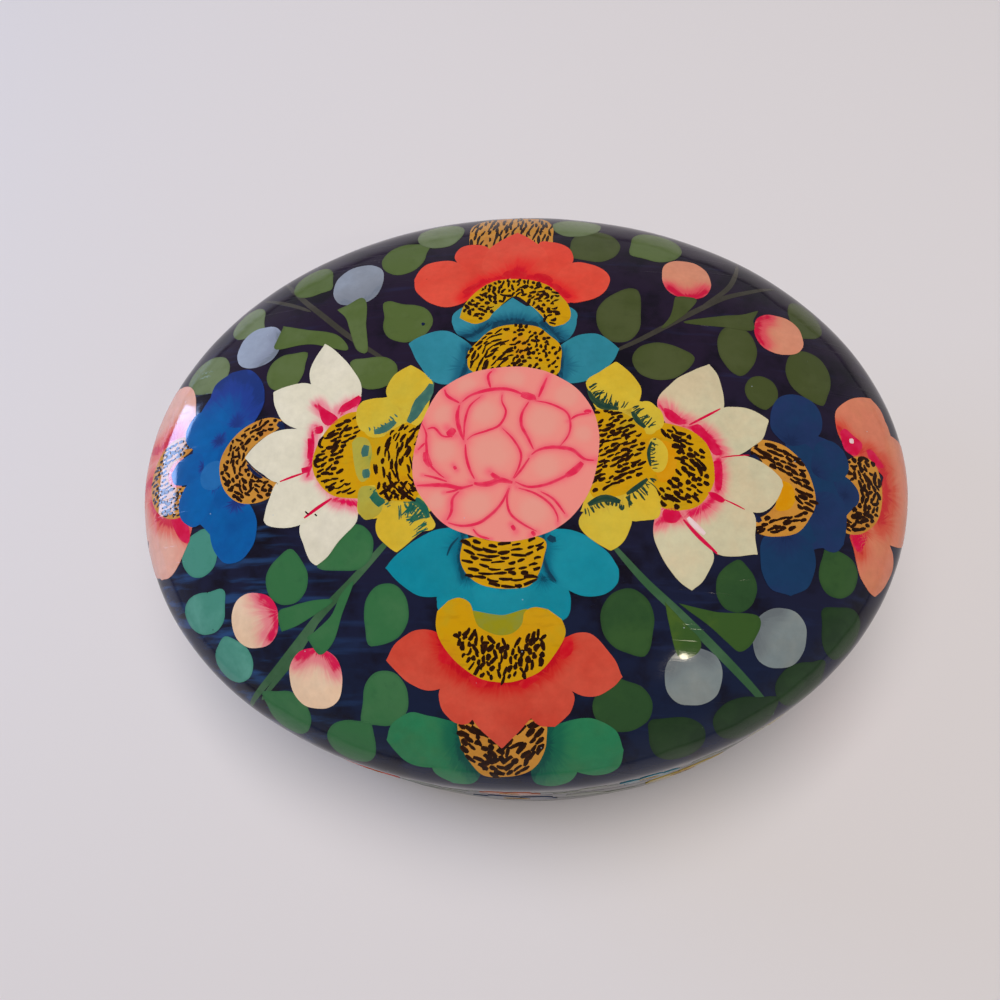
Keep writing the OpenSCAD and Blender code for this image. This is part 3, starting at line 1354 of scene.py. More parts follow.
ROSE_LINES: tuple[tuple[float, float, tuple[Point, ...]], ...] = (
    (0.5, 0.9, ((-6.5, 5.9), (-5.4, 6.9), (-4, 7.5), (-2.2, 7.9), (0, 7.9), (1.8, 7.2), (3, 6.5))),
    (0.35, 0.7, ((-2.4, 7.9), (-2.9, 10), (-2.2, 11))),
    (0.4, 0.7, ((5.4, 10), (4.8, 8.4), (4.1, 6.4))),
    (0.4, 0.8, ((-9, 8.3), (-8.4, 7), (-6.5, 5.8))),
    (0.3, 0.5, ((8.3, 3.1), (9.5, 4), (11.4, 4.4))),
    (1, 0.7, ((1.2, 7.3), (2.6, 6.9), (3.6, 6.6), (4.3, 7.1))),
    (0.5, 0.5, ((10.2, 4.3), (10.9, 4.7), (11.7, 4.5))),
    (0.55, 1, ((-6.6, 5.9), (-6.9, 4), (-6.5, 2), (-5.7, 0))),
    (0.35, 0.8, ((-11.9, 3.2), (-11.1, 1.4), (-11, 0), (-10.5, -2.8), (-9, -4.5), (-8, -5.2))),
    (0.3, 0.6, ((-11, 0.2), (-12.3, -1.2))),
    (0.3, 0.6, ((-11.2, 2), (-10, 2.2), (-8.8, 1), (-7.4, 0.8))),
    (0.3, 0.8, ((-5.8, 0), (-5.8, 3), (-5.2, 5.4), (-3.6, 7))),
    (0.3, 0.5, ((-0.8, 7.4), (-0.8, 6), (-0.2, 4.4), (-1, 2.5), (-2.6, 1.7), (-4.6, 1), (-5.6, 0.1))),
    (0.3, 0.6, ((-0.8, 2.2), (0.9, 0.4), (2, -1.6), (1.8, -3.5), (0.9, -5.4))),
    (0.35, 0.6, ((-5.6, 0), (-5.4, -2), (-4.8, -4), (-4, -5.5))),
    (0.4, 0.7, ((3, 6.2), (2, 4.2), (2, 2.4), (2.9, 0.6), (3.8, -1.3))),
    (0.3, 0.5, ((3.4, 6.2), (5.8, 5.7), (8, 4.5), (8.6, 2.8), (8.3, 1), (7.1, -0.7))),
    (0.5, 0.8, ((3.2, -2), (4.4, -1.1), (6.4, -0.7), (8.8, -1), (10.5, -2.3), (12.1, -2.5))),
    (0.4, 0.7, ((1.1, -5.5), (3, -6.3), (5, -6.1), (7, -5.3), (8.8, -4.2), (10.2, -2.6))),
    (0.3, 0.5, ((3.3, -2), (2.2, -3.8), (1, -5.4))),
    (0.75, 0.8, ((-4.6, -5.7), (-3.4, -6), (-2, -5.9), (-0.8, -5.4), (0.4, -5.6), (1.4, -5.9))),
    (0.55, 0.7, ((-4, -6), (-6, -6.5), (-8.2, -6.1), (-12.3, -6.1))),
    (0.3, 0.5, ((-6, -6.6), (-7.2, -7), (-8.2, -7.1))),
    (0.3, 0.4, ((-7.6, -5.7), (-9.6, -5), (-11.3, -4.6))),
    (0.4, 0.9, ((-6, -6.8), (-7, -8), (-7.1, -9.8), (-7.8, -11.2))),
    (0.4, 0.5, ((-7.8, -11.2), (-5.6, -11.7), (-3.4, -11.3), (-1.6, -10), (-0.3, -8.4), (0.6, -6.2))),
    (0.3, 0.4, ((0.7, -6.2), (0.3, -8), (0.8, -10), (2.5, -11.4), (4.6, -12.5))),
    (0.3, 0.5, ((1.5, -6.4), (4, -7.2), (6, -8.6), (7, -10.2), (7.1, -11.4))),
    (0.3, 0.5, ((4.5, -6.8), (6.5, -8), (8.2, -10.2))),
    (0.3, 0.4, ((-4.3, -11.9), (-3.3, -13), (-1.6, -13.5))),
    (1.3, 0.9, ((-8.2, 2.1), (-7.5, 1.4), (-6.9, 1))),
    (0.9, 1, ((-11.1, -0.8), (-10.8, -2.4), (-9.9, -3.8))),
    (0.9, 0.8, ((7.6, -5), (9.2, -4), (10.6, -2.4))),
    (0.6, 0.9, ((-2.2, -4.2), (-1.4, -4.9), (-0.4, -5.3))),
    (0.7, 0.6, ((3.6, -12.9), (4.2, -12.4))),
    (0.5, 0.6, ((0.9, -11.4), (1.3, -12), (1.6, -12.4))),
    (0.45, 0.6, ((-7.1, -3.3), (-6.8, -3.7), (-6.6, -4))),
)

ROSE_HEARTS: tuple[tuple[Point, float], ...] = (
    ((-3.2, 4.4), 2.6), ((-2, -1.6), 3.8), ((4.8, 3), 3), ((5.4, -3.4), 2.6), ((-8.8, 4.2), 1.9),
    ((-8.6, -1.2), 2.4), ((-3.6, -8.9), 2.6), ((4, -9.6), 2.8), ((0.8, 9.4), 2.2), ((8, 7), 2.2),
    ((-5.8, 8.6), 1.8), ((10.3, 1.4), 1.7), ((-9.2, -8.2), 1.8),
)


@dataclass
class Rose:
    """The round rose in the middle: a pink disc, its petals drawn in crimson lines that bleed a little.

    Fields:
        oval: the form.
        edge: outline of the disc.
        lines: widths, bleeding and places of the drawn lines.
        hearts: middle and radius of the pale part of each petal.
    """

    oval: OvalBody
    edge: tuple[Point, ...] = ROSE_EDGE
    lines: tuple[tuple[float, float, tuple[Point, ...]], ...] = ROSE_LINES
    hearts: tuple[tuple[Point, float], ...] = ROSE_HEARTS

    def heart(self, places: np.ndarray) -> np.ndarray:
        """Paleness at each place: exp(-(distance / radius)^2) from the nearest petal's middle."""
        glow = [np.exp(-((np.linalg.norm(places - m, axis=1) / r) ** 2)) for m, r in self.hearts]
        return np.max(glow, axis=0)

    def build(self) -> None:
        """Builds the disc and its lines."""
        disc = Paint(self.oval)
        outline = smooth_curve(self.edge, True, 0.3)
        middle = outline.mean(0)
        bleeding = [(bleed, line) for _, bleed, line in self.lines]
        disc.fan(
            middle, outline - middle, 48, Layer.ROSE, tuple(middle), tuple(middle + (0, 12)),
            lambda places: {"stain": stained(places, bleeding), "heart": self.heart(places)}
        )
        disc.make("lid_rose", Body.LID, Slot.LID, RoseColour().material("rose_pink"))
        lines = Paint(self.oval, cell=0.4)
        for width, _, line in self.lines:
            lines.stroke(line, width * 1.1, Layer.ROSE + 0.6, 0.6)
        crimson = LineColour("#de2850", "#ea6074").material("rose_crimson")
        lines.make("lid_rose_lines", Body.LID, Slot.LID, crimson)


class Pigment(Enum):
    """The painter's colours, each with its finish."""

    GROUND = GroundColour()
    GOLD = GoldColour()
    AMBER = GoldColour("#c68a38", "#bc8234", "#b87434")
    BRIGHT_AMBER = LineColour("#d08c04", "#d09a1c")
    OLIVE_GOLD = LineColour("#918c18", "#7d8a44")
    INK = LineColour("#22100a", "#472509")
    CRIMSON = LineColour("#cc0840", "#d83060")
    SCARLET = LineColour("#c61024", "#d03430")
    PALE_LINE = LineColour("#e6d0d4", "#dcb0b4")
    YELLOW = PetalColour("#cfae30", "#cbb43c", "#bfa236", "#a88f2c", 0.05, 0.3, 0.2)
    OLIVE = PetalColour("#b09c34", "#a8a244", "#9c9a40", "#7f9048", 0.1, 0.5, 0.2)
    CREAM = PetalColour("#d9d3bf", "#ddd7c6", "#e28c98", "#d4124e", 0.03, 0.16, 0.2, "#d4d0bc")
    WARM_CREAM = PetalColour("#cfc0a0", "#cbc6a8", "#e07c84", "#d41c50", 0.03, 0.16, 0.2, "#c8c0a0")
    TEAL = PetalColour("#2b7d90", "#32849a", "#1d607a", "#123c54", 0.06, 0.3, 0.2)
    LAKE_TEAL = PetalColour("#0d8097", "#15879d", "#0b6680", "#0c4258", 0.06, 0.3, 0.2)
    HATCH = LineColour("#3a6660", "#5c8468")
    DEEP_HATCH = LineColour("#1b5a50", "#4a7a4c")
    DARK_HATCH = LineColour("#1d3c34", "#4a5a34")
    ORANGE = PetalColour("#da4636", "#de5240", "#dc302c", "#cc1226", 0.06, 0.2, 0.2)
    RED_ORANGE = PetalColour("#c94434", "#cf5240", "#c82c26", "#bc1020", 0.06, 0.2, 0.2)
    BLUE = PetalColour("#22335f", "#19385e", "#1e3059", "#1a2a50", 0.12, 0.5, 0.25)
    CLEAR_BLUE = PetalColour("#0a5ea2", "#0c5094", "#223c8a", "#1e3474", 0.1, 0.2, 0.25, "#14569c")
    SKY_BLUE = LineColour("#2468a8", "#1c5e9e")
    NAVY = LineColour("#161f42", "#1c3460")
    DEEP_TEAL = LineColour("#123850", "#1c5468")
    SALMON = PetalColour("#d67e64", "#d28262", "#cf5440", "#c42c30", 0.05, 0.2, 0.24)
    PINK_SALMON = PetalColour("#dc9a88", "#e0aa98", "#dc6c60", "#cc2c44", 0.06, 0.24, 0.24)
    EMERALD = PetalColour("#2b7c55", "#3a764e", "#1a644c", "#104c44", 0.08, 0.3, 0.12)
    LEAF = LeafColour("#526434", "#5a6b40", "#3e4e28")
    OLIVE_LEAF = LeafColour("#444e2a", "#4b5432", "#343c22")
    SPRUCE_LEAF = LeafColour("#356b42", "#3f7048", "#28523a")
    PALE_LEAF = LeafColour("#63714c", "#6e7c5a", "#4d5c40")
    # Painted reflection: a paler, bluer copy of the leaf green where the window's light lies on the lacquer
    WINDOW_GLARE_LEAF = LeafColour("#47897a", "#5a9a8c", "#2f7462")
    DARK_LEAF = LeafColour("#2d4c2c", "#36562f", "#203820")
    SHADOW_LEAF = LeafColour("#213621", "#284025", "#182a1a")
    FRONT_CUP = LeafColour("#385628", "#4c6628", "#2a4424")
    STEM = LeafColour("#365a3c", "#44664a", "#264230")
    SHADED_STEM = LeafColour("#3c3a33", "#48443f", "#2e2b28")
    BLUSH_BUD = PetalColour("#d0886e", "#d69278", "#d8505c", "#c6123e", 0.12, 0.36, 0.25)
    PALE_BUD = PetalColour("#e4c2a4", "#e6cab0", "#e08088", "#d01c4e", 0.12, 0.36, 0.25)
    GREY_BUD = PetalColour("#868c98", "#8f98a8", "#7e8490", "#727a88", 0.1, 0.5, 0.2)
    # Painted light: a lighter copy of the grey bud, for the bud that the window lights
    WINDOW_LIT_BUD = PetalColour("#959fb3", "#a0acc2", "#868ea2", "#727a88", 0.1, 0.5, 0.2)
    LEAD_BUD = PetalColour("#78858a", "#838a8a", "#6e777c", "#666e74", 0.1, 0.5, 0.2)


@dataclass
class PaintBox:
    """The open pots of one part of the painting: strokes gathered by colour.

    Fields:
        oval: the form.
        name, body, slot: of the pieces made from the pots.
        chart: turns places of this part into flat ones.
        materials: the finishes made so far, shared by all parts.
        pots: the paint of each colour.
    """

    oval: OvalBody
    name: str
    body: Body
    slot: Slot
    chart: Chart = as_is
    materials: dict[Pigment, bpy.types.Material] = field(default_factory=dict)
    pots: dict[Pigment, Paint] = field(default_factory=dict)

    def pot(self, pigment: Pigment) -> Paint:
        """Paint of one colour, opened at its first use."""
        if pigment not in self.pots:
            seed = 11 + list(Pigment).index(pigment)
            self.pots[pigment] = Paint(self.oval, self.chart, rng=np.random.default_rng(seed))
        return self.pots[pigment]

    def make(self) -> None:
        """Makes one piece for each colour."""
        for pigment, paint in self.pots.items():
            colour = pigment.name.lower()
            if pigment not in self.materials:
                self.materials[pigment] = pigment.value.material(colour)
            paint.make(f"{self.name}_{colour}", self.body, self.slot, self.materials[pigment])


@dataclass(frozen=True)
class Bloom:
    """Petals of one colour that grow from the same flower.

    Fields:
        pigment: their colour.
        layer: the layer that they belong to.
        petals: their shapes.
        stains: lines that the strong colour bleeds from, with how far it does.
    """

    pigment: Pigment
    layer: float
    petals: tuple[Petal, ...]
    stains: tuple[Bleed, ...] = ()

    def paint(self, box: PaintBox) -> None:
        """Paints the petals, each a hair higher than the one before."""
        for number, petal in enumerate(self.petals):
            box.pot(self.pigment).petal(petal, self.layer + 0.12 * number, self.stains)


@dataclass(frozen=True)
class Crown:
    """Gold crescent or disc behind the next flower, with dark dashes on it.

    Fields:
        layer: the layer that it belongs to.
        outer: its outer edge.
        inner: its inner edge, run in the same direction, or nothing for a disc.
        dashes: rows of dashes on it; those without a region keep to the gold.
        pigment: the kind of gold.
    """

    layer: float
    outer: tuple[Point, ...]
    inner: tuple[Point, ...] = ()
    dashes: tuple[Dashes, ...] = ()
    pigment: Pigment = Pigment.GOLD

    def paint(self, box: PaintBox) -> None:
        """Paints the gold and its dashes."""
        if self.inner:
            box.pot(self.pigment).crescent(self.outer, self.inner, self.layer)
        else:
            Daub(self.pigment, self.layer, (self.outer,)).paint(box)
        whole = self.outer + self.inner[::-1]
        for rows in self.dashes:
            kept = rows if rows.region else replace(rows, region=whole)
            kept.paint(box.pot(Pigment.INK), self.layer + 0.5)


@dataclass(frozen=True)
class Stroke:
    """One drawn line."""

    pigment: Pigment
    layer: float
    width: float
    points: tuple[Point, ...]
    blunt: float = 0.5

    def paint(self, box: PaintBox) -> None:
        """Draws the line."""
        box.pot(self.pigment).stroke(self.points, self.width, self.layer, self.blunt)


@dataclass(frozen=True)
class Shading:
    """Fringes of one colour."""

    pigment: Pigment
    layer: float
    fringes: tuple[Fringe, ...]

    def paint(self, box: PaintBox) -> None:
        """Draws the fringes."""
        for fringe in self.fringes:
            fringe.paint(box.pot(self.pigment), self.layer)


@dataclass(frozen=True)
class Daub:
    """Plain patches of one colour, filled from their middles."""

    pigment: Pigment
    layer: float
    outlines: tuple[tuple[Point, ...], ...]

    def paint(self, box: PaintBox) -> None:
        """Fills the patches."""
        for outline in self.outlines:
            middle = tuple(np.mean(outline, axis=0))
            box.pot(self.pigment).petal(Petal(outline, middle, outline[0]), self.layer)


Mark = Bloom | Crown | Stroke | Shading | Daub


@dataclass
class FlowerArm:
    """One of the four arms of flowers that grow out of the rose."""

    oval: OvalBody
    name: str
    marks: tuple[Mark, ...]
    materials: dict[Pigment, bpy.types.Material]

    def build(self) -> None:
        """Paints the arm."""
        box = PaintBox(self.oval, f"lid_{self.name}", Body.LID, Slot.LID, materials=self.materials)
        for mark in self.marks:
            mark.paint(box)
        box.make()


LEFT_ARM: tuple[Mark, ...] = (
    Bloom(Pigment.PINK_SALMON, Layer.FAR_PETAL, (
        Petal(((-49.6, 3.5), (-49, 8), (-50.5, 12.2), (-55, 14.2), (-60, 13), (-63, 6), (-63, -8),
               (-60, -15.6), (-53.5, -17.4), (-50, -16.8), (-47, -13.4), (-46.4, -10), (-48.4, -6),
               (-49, 0)), (-50, -2), (-63, 6)),
        Petal(((-56, 5.6), (-58.6, 6.4), (-61.6, 5), (-62.6, 2), (-61, -0.9), (-58, -1.6), (-55.6, 0.4)),
              (-54, 1.6), (-62.6, 2)),
        Petal(((-56, -2.4), (-59, -2), (-62, -3.8), (-62.6, -7.2), (-60.4, -10.2), (-57.2, -10.4),
               (-55, -7.2)), (-54.6, -5.2), (-62, -8)),
        Petal(((-48.2, 5.4), (-48.4, 9), (-50, 12.4), (-53, 14), (-56, 12.8), (-57.4, 9.8), (-56.6, 6.2),
               (-53.6, 3.6), (-50.4, 3.4)), (-51.2, 3.4), (-54, 13.6)),
        Petal(((-46.3, -9.6), (-46.3, -11.6), (-47.2, -13.6), (-50, -17), (-53.2, -17.6), (-56.2, -15.8),
               (-57.4, -12.4), (-56.4, -9), (-52.6, -7.6), (-48.8, -8.2)), (-51, -7.8), (-53.2, -17.6)),
    ), (
        (2.4, ((-62.5, -2), (-59, -2.6), (-56.4, -2))),
        (1.6, ((-55.4, -5.4), (-53.4, -8.2), (-50, -9.4), (-46.8, -11.2))),
        (1.8, ((-57.5, 3.4), (-54.6, 3.2), (-52, 4.8))),
    )),
    Daub(Pigment.CRIMSON, Layer.FAR_CROWN - 0.3, (
        ((-50.6, -8.4), (-48.6, -8.5), (-46.7, -10.2), (-46.5, -12.6), (-48, -12.2), (-49.4, -10.6)),
    )),
    Stroke(Pigment.NAVY, Layer.FAR_CROWN - 0.2, 0.9, ((-59.4, -11.3), (-58, -11.7), (-56.6, -11.2))),
    Crown(
        Layer.FAR_CROWN,
        ((-46.6, 2.4), (-49.5, 4), (-52.5, 3.5), (-55, 1), (-56, -2.5), (-55, -6), (-52, -8.3),
         (-48.5, -8.7), (-45.8, -6.8), (-44.6, -4.6)),
        ((-46.6, 2.4), (-48.5, 0.9), (-51, 0), (-51.8, -2), (-50.5, -3.8), (-47.5, -4.2), (-44.6, -4.6)),
        (Dashes((), 12, (1.1, 0.5), (1.25, 0.8), None, 21),),
        Pigment.AMBER,
    ),
    Bloom(Pigment.CLEAR_BLUE, Layer.OUTER_PETAL, (
        Petal(((-47.6, 6), (-45, 11), (-41, 13.4), (-37, 11), (-37, 5), (-40.6, 2), (-41.2, -4),
               (-38, -7.6), (-36, -12), (-38.6, -15), (-42, -12.4), (-45, -9.8), (-47.6, -8.6),
               (-47.6, -4), (-50, -2), (-47.4, 0.6)), (-38, -1), (-50, -2)),
        Petal(((-45.4, -4.2), (-42.6, -0.8), (-42.6, 3), (-39.8, 4.6), (-39.4, -6.8), (-41.6, -8)),
              (-38, -2), (-45.4, -4.2)),
        Petal(((-45.2, 0.2), (-47, 1), (-49.8, 0), (-51.2, -1.8), (-50, -3.6), (-47.2, -3.8), (-45, -2.6)),
              (-44.8, -1.4), (-51.2, -1.8)),
        Petal(((-41.2, 2), (-42.6, 5.4), (-44.6, 7.6), (-47.6, 7.6), (-49.2, 5.4), (-48.8, 2.8),
               (-46.4, 1.2), (-43.6, 0.8)), (-42.6, 2.4), (-48.6, 6.2)),
        Petal(((-41.2, -3.4), (-42.2, -6), (-43.4, -9.2), (-45.8, -10.4), (-48.2, -9), (-48.8, -6.2),
               (-47.2, -3.6), (-44, -2.6)), (-42.4, -4.2), (-47.6, -9.4)),
        Petal(((-37.2, 4.8), (-36, 8), (-37, 11.6), (-39.6, 13.9), (-42.8, 14), (-45.4, 12), (-45.6, 8.6),
               (-43.6, 5.8), (-40.4, 4.2)), (-40, 5), (-42.8, 14)),
        Petal(((-36.6, -7.6), (-35, -10.4), (-35.4, -13.6), (-37.4, -15.8), (-40.2, -15.8), (-42.2, -13.4),
               (-42.6, -10.2), (-41, -7.8), (-38.8, -7)), (-38.6, -7.4), (-38.8, -16)),
    ), (
        (3.4, ((-45, 12.6), (-42, 13.6), (-38, 11.6), (-36.4, 8.4))),
    )),
    Daub(Pigment.SKY_BLUE, Layer.OUTER_PETAL + 0.8, (
        ((-40.9, -2), (-42, -0.9), (-44, -1), (-45.2, -2.6), (-44.6, -4.6), (-42.6, -5.2), (-41.2, -4.2)),
    )),
    Crown(
        Layer.OUTER_CROWN,
        ((-32.3, 4.6), (-35, 5.2), (-38.5, 4), (-41, 1.5), (-42, -1.5), (-41, -5), (-38.5, -7.3),
         (-35.5, -7.7), (-33, -6.8), (-32.2, -5.2)),
        ((-32.3, 4.2), (-33.5, 3), (-36, 1.5), (-37.8, -0.8), (-36, -2.8), (-34.4, -4), (-32.2, -5)),
        (Dashes((), 0, (1.05, 0.52), (1.2, 0.76), (-34.5, -1), 22, 0.5),),
        Pigment.AMBER,
    ),
    Stroke(Pigment.NAVY, Layer.OUTER_CROWN + 0.7, 0.9, ((-33.6, 4.4), (-32.6, 3.8), (-32.2, 3))),
    Stroke(Pigment.NAVY, Layer.OUTER_CROWN + 0.7, 0.5, ((-37.6, -1.6), (-36, -3.2), (-34.4, -4.2))),
    Bloom(Pigment.CREAM, Layer.MIDDLE_PETAL, (
        Petal(((-22, 3), (-27, 5.4), (-28.8, 10), (-29.2, 13), (-27.6, 17), (-25, 14.8), (-22.6, 12),
               (-21, 9), (-21.1, 6)), (-22.2, 4.4), (-27.6, 17)),
        Petal(((-20, -7), (-24.4, -7), (-28.2, -11), (-27.6, -14), (-26.6, -16), (-25.6, -16.9),
               (-24, -15.6), (-22.4, -13.4), (-20.4, -11.4), (-20, -9.8)), (-21.8, -7), (-25.6, -16.9)),
        Petal(((-25, 2), (-29.6, 2.9), (-32.2, 4.2), (-34, 6.8), (-34.7, 9.4), (-31, 10.4), (-28.6, 10),
               (-25.6, 8), (-23.4, 4.6)), (-24.6, 3), (-34.7, 9.4)),
        Petal(((-24, -4), (-28, -3.6), (-32, -4.6), (-33.4, -7.6), (-34, -10.2), (-33.2, -11),
               (-30.6, -11.5), (-27.8, -11), (-25.4, -9.3), (-23, -6)), (-24.6, -5), (-34, -10.2)),
        Petal(((-26, -3.6), (-31.8, -4.9), (-35, -3.3), (-37.9, -0.8), (-36, 1.4), (-33, 3), (-29.4, 3),
               (-26, 2.6)), (-26.6, -0.8), (-37.9, -0.8)),
    ), (
        (1.0, ((-20.8, 6.2), (-22.4, 6.2), (-23.8, 5.2))),
        (0.9, ((-27.4, 6.6), (-25.8, 4.8), (-24.6, 3.4))),
        (0.85, ((-27.2, 3), (-27.6, 0.6), (-27.4, -2), (-27.6, -4))),
        (1.0, ((-25.2, -5), (-23.6, -6.5))),
        (0.95, ((-23.4, -7.8), (-21.8, -8.2), (-20, -8.6))),
    )),
    Daub(Pigment.CRIMSON, Layer.MIDDLE_PETAL + 1.0, (
        ((-24.1, 5.3), (-23.6, 6.3), (-22.4, 7), (-21.2, 7.7), (-20.9, 6.8), (-22, 5.8), (-23.2, 5.2)),
        ((-27.4, 6.8), (-26, 5.8), (-24.4, 4.7), (-24, 3.9), (-25.3, 3.2), (-26.4, 4)),
        ((-27.2, 3.1), (-26.2, 3.2), (-26.1, 2.2), (-27.1, 2.1)),
        ((-28.3, 1.5), (-27.4, 1.2), (-27.1, 0), (-27.3, -1.4), (-28, -1.6), (-28.1, 0)),
        ((-28.8, -3), (-27.4, -2.8), (-27.5, -3.6), (-28.5, -3.7)),
    )),
    Stroke(Pigment.CRIMSON, Layer.MIDDLE_PETAL + 1.0, 0.5, ((-23.6, -7.4), (-25.6, -8.7), (-28, -10.4))),
    Stroke(Pigment.CRIMSON, Layer.MIDDLE_PETAL + 1.0, 0.34, ((-27.9, -3.6), (-30, -4.2), (-32.2, -4.9))),
    Stroke(Pigment.INK, Layer.MIDDLE_PETAL + 1.0, 0.24, ((-27.8, -9.1), (-27.3, -9.6), (-26.8, -9.7))),
    Stroke(Pigment.INK, Layer.MIDDLE_PETAL + 1.0, 0.22, ((-26.3, -9.6), (-25.8, -10.1))),
    Crown(
        Layer.MIDDLE_CROWN,
        ((-19.4, 5), (-22.5, 5), (-25, 3.2), (-26.8, 0), (-27.1, -3), (-25.8, -5.5), (-23.5, -7.3),
         (-19.6, -7.8)),
        ((-16, 4.6), (-16, 2), (-16, 0), (-16, -2), (-16, -4), (-16, -6), (-17, -7.4)),
        (Dashes(((-20.3, 4.8), (-22.5, 4.8), (-25, 3), (-26.7, 0), (-27, -3), (-25.6, -5.5), (-23.4, -7.3),
                 (-20.2, -7.6), (-21.2, -5.6), (-22.8, -3.2), (-22.4, -0.4), (-20.6, 1.8)),
                22, (1.2, 0.5), (1.3, 0.78), None, 23, 0.26),),
    ),
    Stroke(Pigment.INK, Layer.MIDDLE_CROWN + 0.6, 0.5,
           ((-25.6, 1.8), (-26.3, 1), (-26.3, 0.1), (-25.4, -0.1))),
    Stroke(Pigment.INK, Layer.MIDDLE_CROWN + 0.6, 0.5,
           ((-26, -1.3), (-26.8, -2), (-26.5, -2.9), (-25.6, -2.8))),
    Daub(Pigment.YELLOW, Layer.INNER_PETAL - 0.5, (
        ((-20.6, 5), (-19.6, 6.9), (-16.8, 7.2), (-14.4, 8), (-11.4, 9), (-10.9, 6), (-12, 3), (-14, 2.2),
         (-18, 1), (-20, 2)),
        ((-20.2, -7), (-19.9, -9.8), (-17.6, -10.6), (-16, -9.7), (-12, -9), (-10, -9.8), (-11, -7),
         (-16, -6), (-19, -6)),
    )),
    Bloom(Pigment.OLIVE, Layer.INNER_PETAL - 0.2, (
        Petal(((-21.6, 0.4), (-20.8, 1.2), (-19.3, 0.8), (-18.6, -1), (-18.6, -4.4), (-19.8, -5.4),
               (-20.8, -3.6)), (-18.6, -2), (-21.6, 0.4)),
        Petal(((-20, -6.4), (-20, -9.3), (-19, -10.8), (-17.6, -10.4), (-16.6, -9.3), (-17, -7),
               (-18.5, -6)), (-17, -6.6), (-19, -10.8)),
    )),
    Bloom(Pigment.YELLOW, Layer.INNER_PETAL, (
        Petal(((-21.3, 5.6), (-20.5, 6.8), (-18.5, 7.1), (-16.8, 6.8), (-15.4, 5.5), (-14.6, 3),
               (-16.5, 1.5), (-20, 2), (-21.2, 3.6)), (-16.6, 2.4), (-20.5, 6.8)),
        Petal(((-12.6, 4.6), (-16.2, 6.2), (-17.3, 8.2), (-16.2, 10.8), (-14, 12.2), (-11.6, 10.5),
               (-10.6, 8.9), (-10.9, 7.2)), (-12.3, 4.6), (-14, 12.2)),
        Petal(((-12, -8), (-15.8, -8.8), (-17.4, -11), (-17, -13), (-15.6, -14.4), (-14.4, -15.3),
               (-12.8, -14), (-11, -12.5), (-9.6, -12.2), (-9.4, -11)), (-12, -8.2), (-14.4, -15.3)),
    )),
    Stroke(Pigment.HATCH, Layer.INNER_PETAL + 0.7, 1.8,
           ((-14.3, 2.4), (-13, 4.2), (-12.3, 6), (-11.2, 7.6), (-10.6, 10)), 0.9),
    Shading(Pigment.HATCH, Layer.INNER_PETAL + 0.7, (
        Fringe(((-19.1, 1.7), (-17, 2.3), (-15.1, 3.8)), 1.1, 0.8, 0.6, 2),
        Fringe(((-19.3, 0.4), (-19.6, -1), (-19.4, -2.2)), 1.1, 0, 0.5, 3),
        Fringe(((-19.4, -3.2), (-19, -5.2)), 1.1, 0, 0.5, 4),
    )),
    Shading(Pigment.DEEP_HATCH, Layer.INNER_PETAL + 0.7, (
        Fringe(((-18.7, -6.8), (-17.4, -7.8), (-16.3, -9.2)), 1.5, 0.6, 0.5, 5),
        Fringe(((-10, -11.2), (-11, -9), (-12.6, -8), (-14.4, -8.4)), 1.1, 2, 0.3, 6),
        Fringe(((-10, -12), (-11, -9.6), (-12.6, -8.4)), 0, 2.4, 0.3, 12),
    )),
    Crown(
        Layer.INNER_CROWN,
        ((-13.8, 3.2), (-16, 2), (-18, 0), (-18.7, -3), (-18, -5.5), (-17, -7.5), (-14.5, -8.2),
         (-12, -7.9), (-11, -4), (-11.4, 1.5)),
        (),
        (Dashes((), 0, (1.5, 0.42), (1.6, 0.72), (-9, -2.2), 24, 0.1),
         Dashes(((-18, -5.2), (-16.8, -7.5), (-14.5, -8), (-12.4, -7.6), (-12.4, -5.4)),
                60, (1, 0.5), (1.1, 0.9), None, 25, 0.5)),
    ),
)

